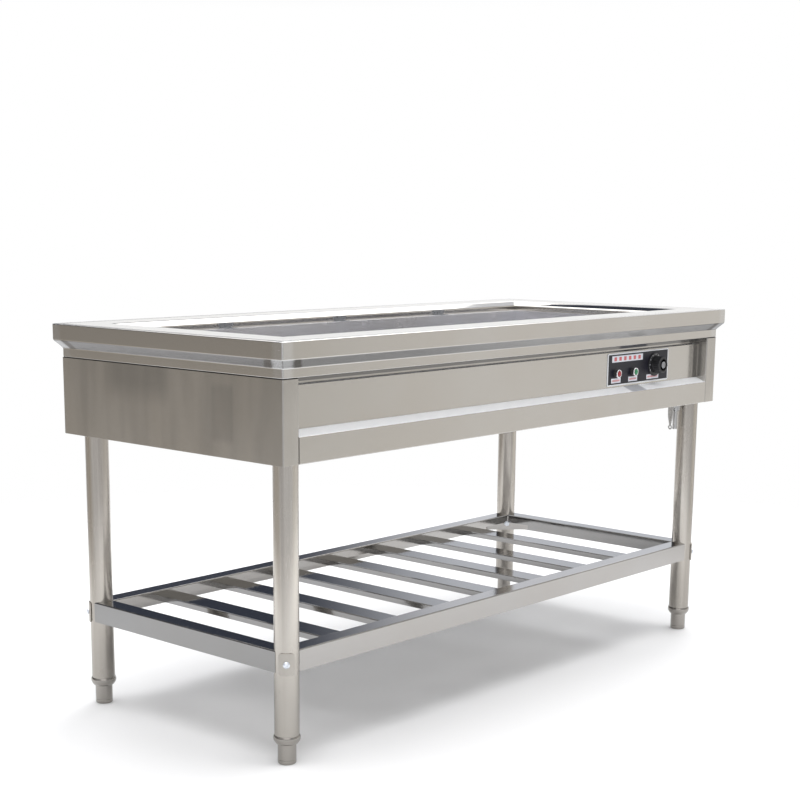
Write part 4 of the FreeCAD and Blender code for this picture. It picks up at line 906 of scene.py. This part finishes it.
def make_saddles():
    """Curved plates under the bolt heads, spun round the leg, their corners cut and softened."""
    radius = LEG_RADIUS + 0.0003
    half_height = SADDLE_HEIGHT / 2
    half_turn = SADDLE_WIDTH / 2 / (radius + SADDLE_GAUGE)
    start_turn = math.radians(225)
    corner = 0.005
    strip = 0.002
    plate = start_plane(Vector((radius, 0, BOLT_HEIGHT)), Vector((0, strip, 0)),
                        Vector((0, 0, SADDLE_HEIGHT)))
    pick("VERT", lambda point: point.co.y > 0)
    bpy.ops.mesh.delete(type="VERT")
    bpy.ops.mesh.select_all(action="SELECT")
    bpy.ops.transform.translate(value=(0, strip / 2, 0))
    centre = (0, 0, BOLT_HEIGHT)
    bpy.ops.mesh.spin(steps=16, angle=half_turn * 2, center=centre, axis=(0, 0, 1))
    bpy.ops.mesh.select_all(action="SELECT")
    bpy.ops.transform.rotate(value=-half_turn, orient_axis="Z", center_override=centre)
    reach = radius * math.sin(half_turn) - corner
    for across in (-1, 1):
        for upwards in (-1, 1):
            for angle in (22.5, 45, 67.5):
                normal = Vector((0, across * math.cos(math.radians(angle)),
                                 upwards * math.sin(math.radians(angle))))
                rise = upwards * (half_height - corner)
                middle = Vector((0, across * reach, BOLT_HEIGHT + rise))
                bpy.ops.mesh.select_all(action="SELECT")
                bpy.ops.mesh.bisect(plane_co=middle + normal * corner, plane_no=normal,
                                    clear_outer=True)
    bpy.ops.mesh.select_all(action="SELECT")
    bpy.ops.mesh.normals_make_consistent(inside=False)
    bpy.ops.object.mode_set(mode="OBJECT")
    outwards = plate.data.polygons[0].normal.x > 0
    give_gauge(plate, SADDLE_GAUGE, 1 if outwards else -1)
    plate.rotation_euler = (0, 0, start_turn)
    plate.location = (-leg_x, -leg_y, 0)
    settle()
    finish_piece(plate, "bolt_saddle_front_left", saddle_steel, ["leg_saddles"],
                 edge=0.0005)
    for side, end, label in ((1, -1, "front_right"), (-1, 1, "rear_left"), (1, 1, "rear_right")):
        turn = math.atan2(end, side) - start_turn
        start = Matrix.Rotation(turn, 4, "Z") @ Vector((-leg_x, -leg_y, 0))
        shift = Vector((leg_x * side, leg_y * end, 0)) - start
        copy_piece(plate, f"bolt_saddle_{label}", ["leg_saddles"],
                   shift=shift, turn=turn)


# Controls

FRONT = (0, -1, 0)
plate_low, plate_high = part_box("control_plate")
plate_front = plate_low[1]
knob_low, knob_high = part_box("thermostat_knob")
knob_centre = Vector(((knob_low[0] + knob_high[0]) / 2, plate_front,
                      (knob_low[2] + knob_high[2]) / 2))


def make_control_plate():
    """Flat plate with round corners, its print in the material."""
    width = plate_high[0] - plate_low[0]
    height = plate_high[2] - plate_low[2]
    middle = Vector(((plate_low[0] + plate_high[0]) / 2, plate_front,
                     (plate_low[2] + plate_high[2]) / 2))
    plate = start_plane(middle, Vector((width, 0, 0)), Vector((0, 0, height)))
    bpy.ops.mesh.select_all(action="SELECT")
    bpy.ops.mesh.bevel(offset=0.004, segments=5, affect="VERTICES")
    bpy.ops.object.mode_set(mode="OBJECT")
    give_gauge(plate, plate_high[1] - plate_front, -1)
    finish_piece(plate, "printed_plate", plate_print, ["control_plate"],
                 edge=0.0004)


def make_lamps():
    """A bright ring and a coloured lens; the dark sleeve behind them is the CAD lamp body."""
    for label, material in (("red", red_lens), ("green", green_lens)):
        low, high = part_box(f"{label}_lamp_lens")
        centre = ((low[0] + high[0]) / 2, plate_front, (low[2] + high[2]) / 2)
        ring = turned(FRONT, centre, [
            (0.0080, 0.0092),
            (0.0080, 0.0100),
            (0.0088, 0.0105),
            (0.0106, 0.0105),
            (0.0117, 0.0098),
            (0.0120, 0.0088),
            (0.0117, 0.0078),
            (0.0108, 0.0071),
            (0.0080, 0.0071),
            (0.0080, 0.0092),
        ])
        finish_piece(ring, f"{label}_lamp_ring", bright, ["lamp_bezels"], edge=0)
        dome = turned(FRONT, centre, [
            (0.0105, 0.0065),
            (0.0120, 0.0065),
            (0.0128, 0.0059),
            (0.0133, 0.0044),
            (0.0135, 0.0024),
        ])
        finish_piece(dome, f"{label}_lamp_dome", material,
                     [f"{label}_lamp_lens"], edge=0)


def make_knob():
    """Dial skirt, fluted grip and metal cap, turning together; the scale on the skirt is made in
    make_dial_scale.
    """
    skirt = turned(FRONT, knob_centre, [
        (0.0008, 0.0290),
        (0.0022, 0.0290),
        (0.0030, 0.0283),
        (0.0038, 0.0215),
        (0.0038, 0.0180),
    ], sides=96)
    flutes = 24
    grip = turned(FRONT, knob_centre, [(0.0036, 0.0210), (0.0038, 0.0210)], sides=flutes * 5)
    bpy.ops.object.mode_set(mode="EDIT")

    def in_flute(point):
        away = point.co - knob_centre
        turn = math.degrees(math.atan2(away.x, away.z)) * flutes / 360
        return abs(turn - round(turn)) < 0.25

    pick("VERT", in_flute)
    bpy.ops.transform.resize(value=(0.955, 1, 0.955), center_override=knob_centre)
    pick("FACE", lambda face: face.normal.y < -0.9)
    for step, factor in ((0.0205, 0.985), (0.0016, 0.965), (0.0009, 0.90)):
        draw_out(Vector(FRONT) * step)
        bpy.ops.transform.resize(value=(factor, 1, factor), center_override=knob_centre)
    bpy.ops.mesh.inset(thickness=0.0030)
    draw_out(Vector(FRONT) * -0.0008)
    bpy.ops.mesh.inset(thickness=0.0012)
    draw_out(Vector(FRONT) * 0.0004)
    bpy.ops.object.mode_set(mode="OBJECT")
    knob = joined([skirt, grip])
    finish_piece(knob, "thermostat_dial", black_knob, ["thermostat_knob"],
                 "thermostat_dial", edge=0)
    cap = turned(FRONT, knob_centre, [
        (0.0258, 0.0085),
        (0.0270, 0.0085),
        (0.0276, 0.0078),
        (0.0276, 0.0056),
        (0.0271, 0.0050),
        (0.0271, 0.0026),
        (0.0274, 0.0020),
    ])
    finish_piece(cap, "dial_cap", cap_metal, ["knob_cap"], "thermostat_dial", edge=0)


def around_dial(angle, radius, station):
    """Place on the dial at an angle from the top, facing the front."""
    return (
        Matrix.Translation(knob_centre + Vector(FRONT) * station)
        @ Matrix.Rotation(math.radians(angle), 4, "Y")
        @ Matrix.Translation((0, 0, radius))
        @ Matrix.Rotation(math.radians(90), 4, "X")
    )


def make_dial_scale():
    """Nine raised plain numbers on the skirt, with strokes halfway between them."""
    marks = []
    first_angle = -120
    step = 30
    for number in range(9):
        bpy.ops.object.select_all(action="DESELECT")
        bpy.ops.object.text_add()
        word = bpy.context.active_object
        word.data.body = str(30 + 10 * number)
        word.data.size = 0.0046
        word.data.extrude = 0.0002
        word.data.align_x = "CENTER"
        word.data.align_y = "CENTER"
        bpy.ops.object.convert(target="MESH")
        word = bpy.context.active_object
        word.matrix_world = around_dial(first_angle + step * number, 0.0247, 0.0033)
        settle()
        marks.append(word)
    stroke = start_plane(Vector((0, 0, 0)), Vector((0.0005, 0, 0)), Vector((0, 0.0014, 0)))
    bpy.ops.object.mode_set(mode="OBJECT")
    give_gauge(stroke, 0.0003, 1)
    for number in range(8):
        angle = first_angle + step * (number + 0.5)
        marks.append(placed_copy(stroke, around_dial(angle, 0.0268, 0.0030)))
    bpy.data.objects.remove(stroke)
    scale = joined(marks)
    finish_piece(scale, "dial_scale", scale_paint, ["thermostat_knob"],
                 "thermostat_dial", edge=0)


# Drain

def make_lever():
    """Leaf of the lever, drawn down and widened station by station, with its end ring."""
    low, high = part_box("valve_lever")
    pivot = Vector((low[0], (low[1] + high[1]) / 2, VALVE_HEIGHT))
    outline = [
        (0.0056, 0.0030),
        (0.0050, 0.0046),
        (0.0030, 0.0062),
        (0.0000, 0.0071),
        (-0.0080, 0.0075),
        (-0.0150, 0.0075),
        (-0.0220, 0.0072),
        (-0.0280, 0.0067),
        (-0.0350, 0.0056),
        (-0.0410, 0.0042),
        (-0.0460, 0.0030),
        (-0.0505, 0.0025),
    ]
    (rise, half), (next_rise, next_half) = outline[:2]
    leaf = start_plane(
        pivot + Vector((0, 0, (rise + next_rise) / 2)),
        Vector((0, half * 2, 0)),
        Vector((0, 0, rise - next_rise)),
    )
    pick("EDGE", lambda edge: abs(centre_of(edge).z - pivot.z - next_rise) < 1e-6)
    bpy.ops.transform.resize(value=(1, next_half / half, 1), center_override=pivot)
    for (before, old), (rise, half) in zip(outline[1:], outline[2:]):
        draw_out((0, 0, rise - before))
        bpy.ops.transform.resize(value=(1, half / old, 1), center_override=pivot)
    bpy.ops.object.mode_set(mode="OBJECT")
    forwards = leaf.data.polygons[0].normal.x > 0
    give_gauge(leaf, LEVER_GAUGE, 1 if forwards else -1)
    ring = turned((1, 0, 0), pivot - Vector((0, 0, LEVER_REACH)), [
        (0.0008, 0.0060),
        (0.0022, 0.0060),
        (0.0030, 0.0052),
        (0.0030, 0.0033),
        (0.0022, 0.0025),
        (0.0008, 0.0025),
        (0.0000, 0.0033),
        (0.0000, 0.0052),
        (0.0008, 0.0060),
    ])
    lever = joined([leaf, ring])
    finish_piece(lever, "drain_lever", dull, ["valve_lever"], "drain_handle",
                 edge=0.0007)


def make_spout():
    """Short pipe with a collar at its top and an open mouth."""
    low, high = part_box("drain_spout")
    centre = ((low[0] + high[0]) / 2, (low[1] + high[1]) / 2, high[2])
    spout = turned((0, 0, -1), centre, [
        (0.0000, 0.0086),
        (0.0006, 0.0090),
        (0.0026, 0.0090),
        (0.0036, 0.0066),
        (0.0048, 0.0060),
        (0.0490, 0.0060),
        (0.0500, 0.0055),
        (0.0498, 0.0046),
        (0.0000, 0.0046),
        (0.0000, 0.0086),
    ])
    finish_piece(spout, "drain_tube", dull, ["drain_spout"], edge=0)


# Floor, light and camera

FLOOR_EDGE = 2.7
FLOOR_FADE = 1.5


def make_floor():
    """Pale round floor that fades out towards its edge and lets a look from below through."""
    bpy.ops.object.select_all(action="DESELECT")
    bpy.ops.mesh.primitive_circle_add(vertices=128, radius=FLOOR_EDGE, fill_type="NGON")
    floor = bpy.context.active_object
    floor.name = "floor"
    material, tree, shader = new_material("pale_floor")
    shader.inputs["Base Color"].default_value = (0.90, 0.90, 0.90, 1)
    shader.inputs["Roughness"].default_value = 0.9
    shader.inputs["Specular IOR Level"].default_value = 0.1
    distance = tree.nodes.new("ShaderNodeVectorMath")
    distance.operation = "LENGTH"
    tree.links.new(object_point(tree), distance.inputs[0])
    shown = remap(tree, distance.outputs["Value"], 1, 0, FLOOR_FADE, FLOOR_EDGE, smooth=True)
    side = tree.nodes.new("ShaderNodeNewGeometry")
    from_above = reckon(tree, "SUBTRACT", 1.0, side.outputs["Backfacing"])
    tree.links.new(product(tree, shown, from_above), shader.inputs["Alpha"])
    floor.data.materials.append(material)


# Soft patches of the backdrop, later ones on top: azimuth (from +X towards +Y) and elevation
# of the middle, half spans and soft edges, in degrees, then the colour.
BACKDROP = (
    ((86, 38), (47, 29), (6, 2), (0.07, 0.08, 0.11)),
    ((12, 34), (26, 25), (8, 5), (0.90, 0.93, 1.0)),
    ((43, -10), (28, 17), (14, 3), (1.0, 1.0, 1.0)),
    ((24, 31), (9, 9), (6, 6), (1.9, 1.9, 1.9)),
    ((-38, 0), (26, 18), (10, 8), (0.62, 0.60, 0.56)),
    ((-28, 0), (9, 18), (12, 8), (0.84, 0.82, 0.79)),
    ((136, 2), (22, 9), (14, 5), (0.26, 0.24, 0.22)),
    ((136, -24), (26, 17), (14, 5), (0.46, 0.43, 0.39)),
)
SURROUND = (0.58, 0.58, 0.59)


def make_backdrop():
    """Backdrop all round the counter, the same for the camera and for the metal."""
    world = bpy.data.worlds.new("studio")
    bpy.context.scene.world = world
    world.use_nodes = True
    tree = world.node_tree
    tree.nodes.clear()
    output = tree.nodes.new("ShaderNodeOutputWorld")
    backdrop = tree.nodes.new("ShaderNodeBackground")
    direction = tree.nodes.new("ShaderNodeTexCoord")
    split = tree.nodes.new("ShaderNodeSeparateXYZ")
    tree.links.new(direction.outputs["Generated"], split.inputs["Vector"])
    turn = reckon(tree, "ARCTAN2", split.outputs["Y"], split.outputs["X"])
    azimuth = reckon(tree, "DEGREES", turn)
    elevation = reckon(tree, "DEGREES", reckon(tree, "ARCSINE", split.outputs["Z"]))
    colour = SURROUND
    for middle, half, soft, tone in BACKDROP:
        away = reckon(tree, "WRAP", reckon(tree, "SUBTRACT", azimuth, middle[0]), 180.0, -180.0)
        across = near(tree, away, 0, half[0], soft[0])
        upright = near(tree, elevation, middle[1], half[1], soft[1])
        colour = blend(tree, product(tree, across, upright), colour, tone)
    tree.links.new(colour, backdrop.inputs["Color"])
    tree.links.new(backdrop.outputs["Background"], output.inputs["Surface"])


def make_area(name, location, target, width, depth, power):
    """Soft rectangular light aimed at a point."""
    lamp = bpy.data.lights.new(name, "AREA")
    lamp.shape = "RECTANGLE"
    lamp.size = width
    lamp.size_y = depth
    lamp.energy = power
    item = bpy.data.objects.new(name, lamp)
    bpy.context.scene.collection.objects.link(item)
    item.location = location
    aim = Vector(target) - Vector(location)
    item.rotation_euler = aim.to_track_quat("-Z", "Y").to_euler()


def make_camera():
    """Camera at the photograph's place, worked out from the edges of the counter."""
    azimuth, elevation, roll = (math.radians(angle) for angle in (-47.4736, 11.6133, 0.3291))
    focal, centre_x, centre_y = 1565.82, 370.0, 540.0
    frame_width = 800
    camera = bpy.data.cameras.new("camera")
    camera.sensor_width = 36
    camera.lens = focal / frame_width * camera.sensor_width
    camera.shift_x = 0.5 - centre_x / frame_width
    camera.shift_y = centre_y / frame_width - 0.5
    item = bpy.data.objects.new("camera", camera)
    bpy.context.scene.collection.objects.link(item)
    item.location = (-2.8353, -2.4445, 1.0753)
    back = Vector((
        math.sin(azimuth) * math.cos(elevation),
        -math.cos(azimuth) * math.cos(elevation),
        math.sin(elevation),
    ))
    item.rotation_mode = "QUATERNION"
    item.rotation_quaternion = (-back).to_track_quat("-Z", "Y") @ Quaternion((0, 0, 1), roll)
    bpy.context.scene.camera = item


dress_nodes()
make_rim()
make_side_panels()
make_front_panel()
make_lower_rail()
make_legs()
make_shelf()
make_saddles()
make_control_plate()
make_lamps()
make_knob()
make_dial_scale()
make_lever()
make_spout()
make_floor()
make_backdrop()
make_area("overhead", (0.2, 0.3, 3.6), (0, 0, 0), 6.0, 5.0, 250)
make_area("fill", (-3.6, -3.2, 2.4), (0, 0, 0.1), 4.4, 2.6, 40)
make_camera()
bpy.context.scene.view_settings.view_transform = "Standard"
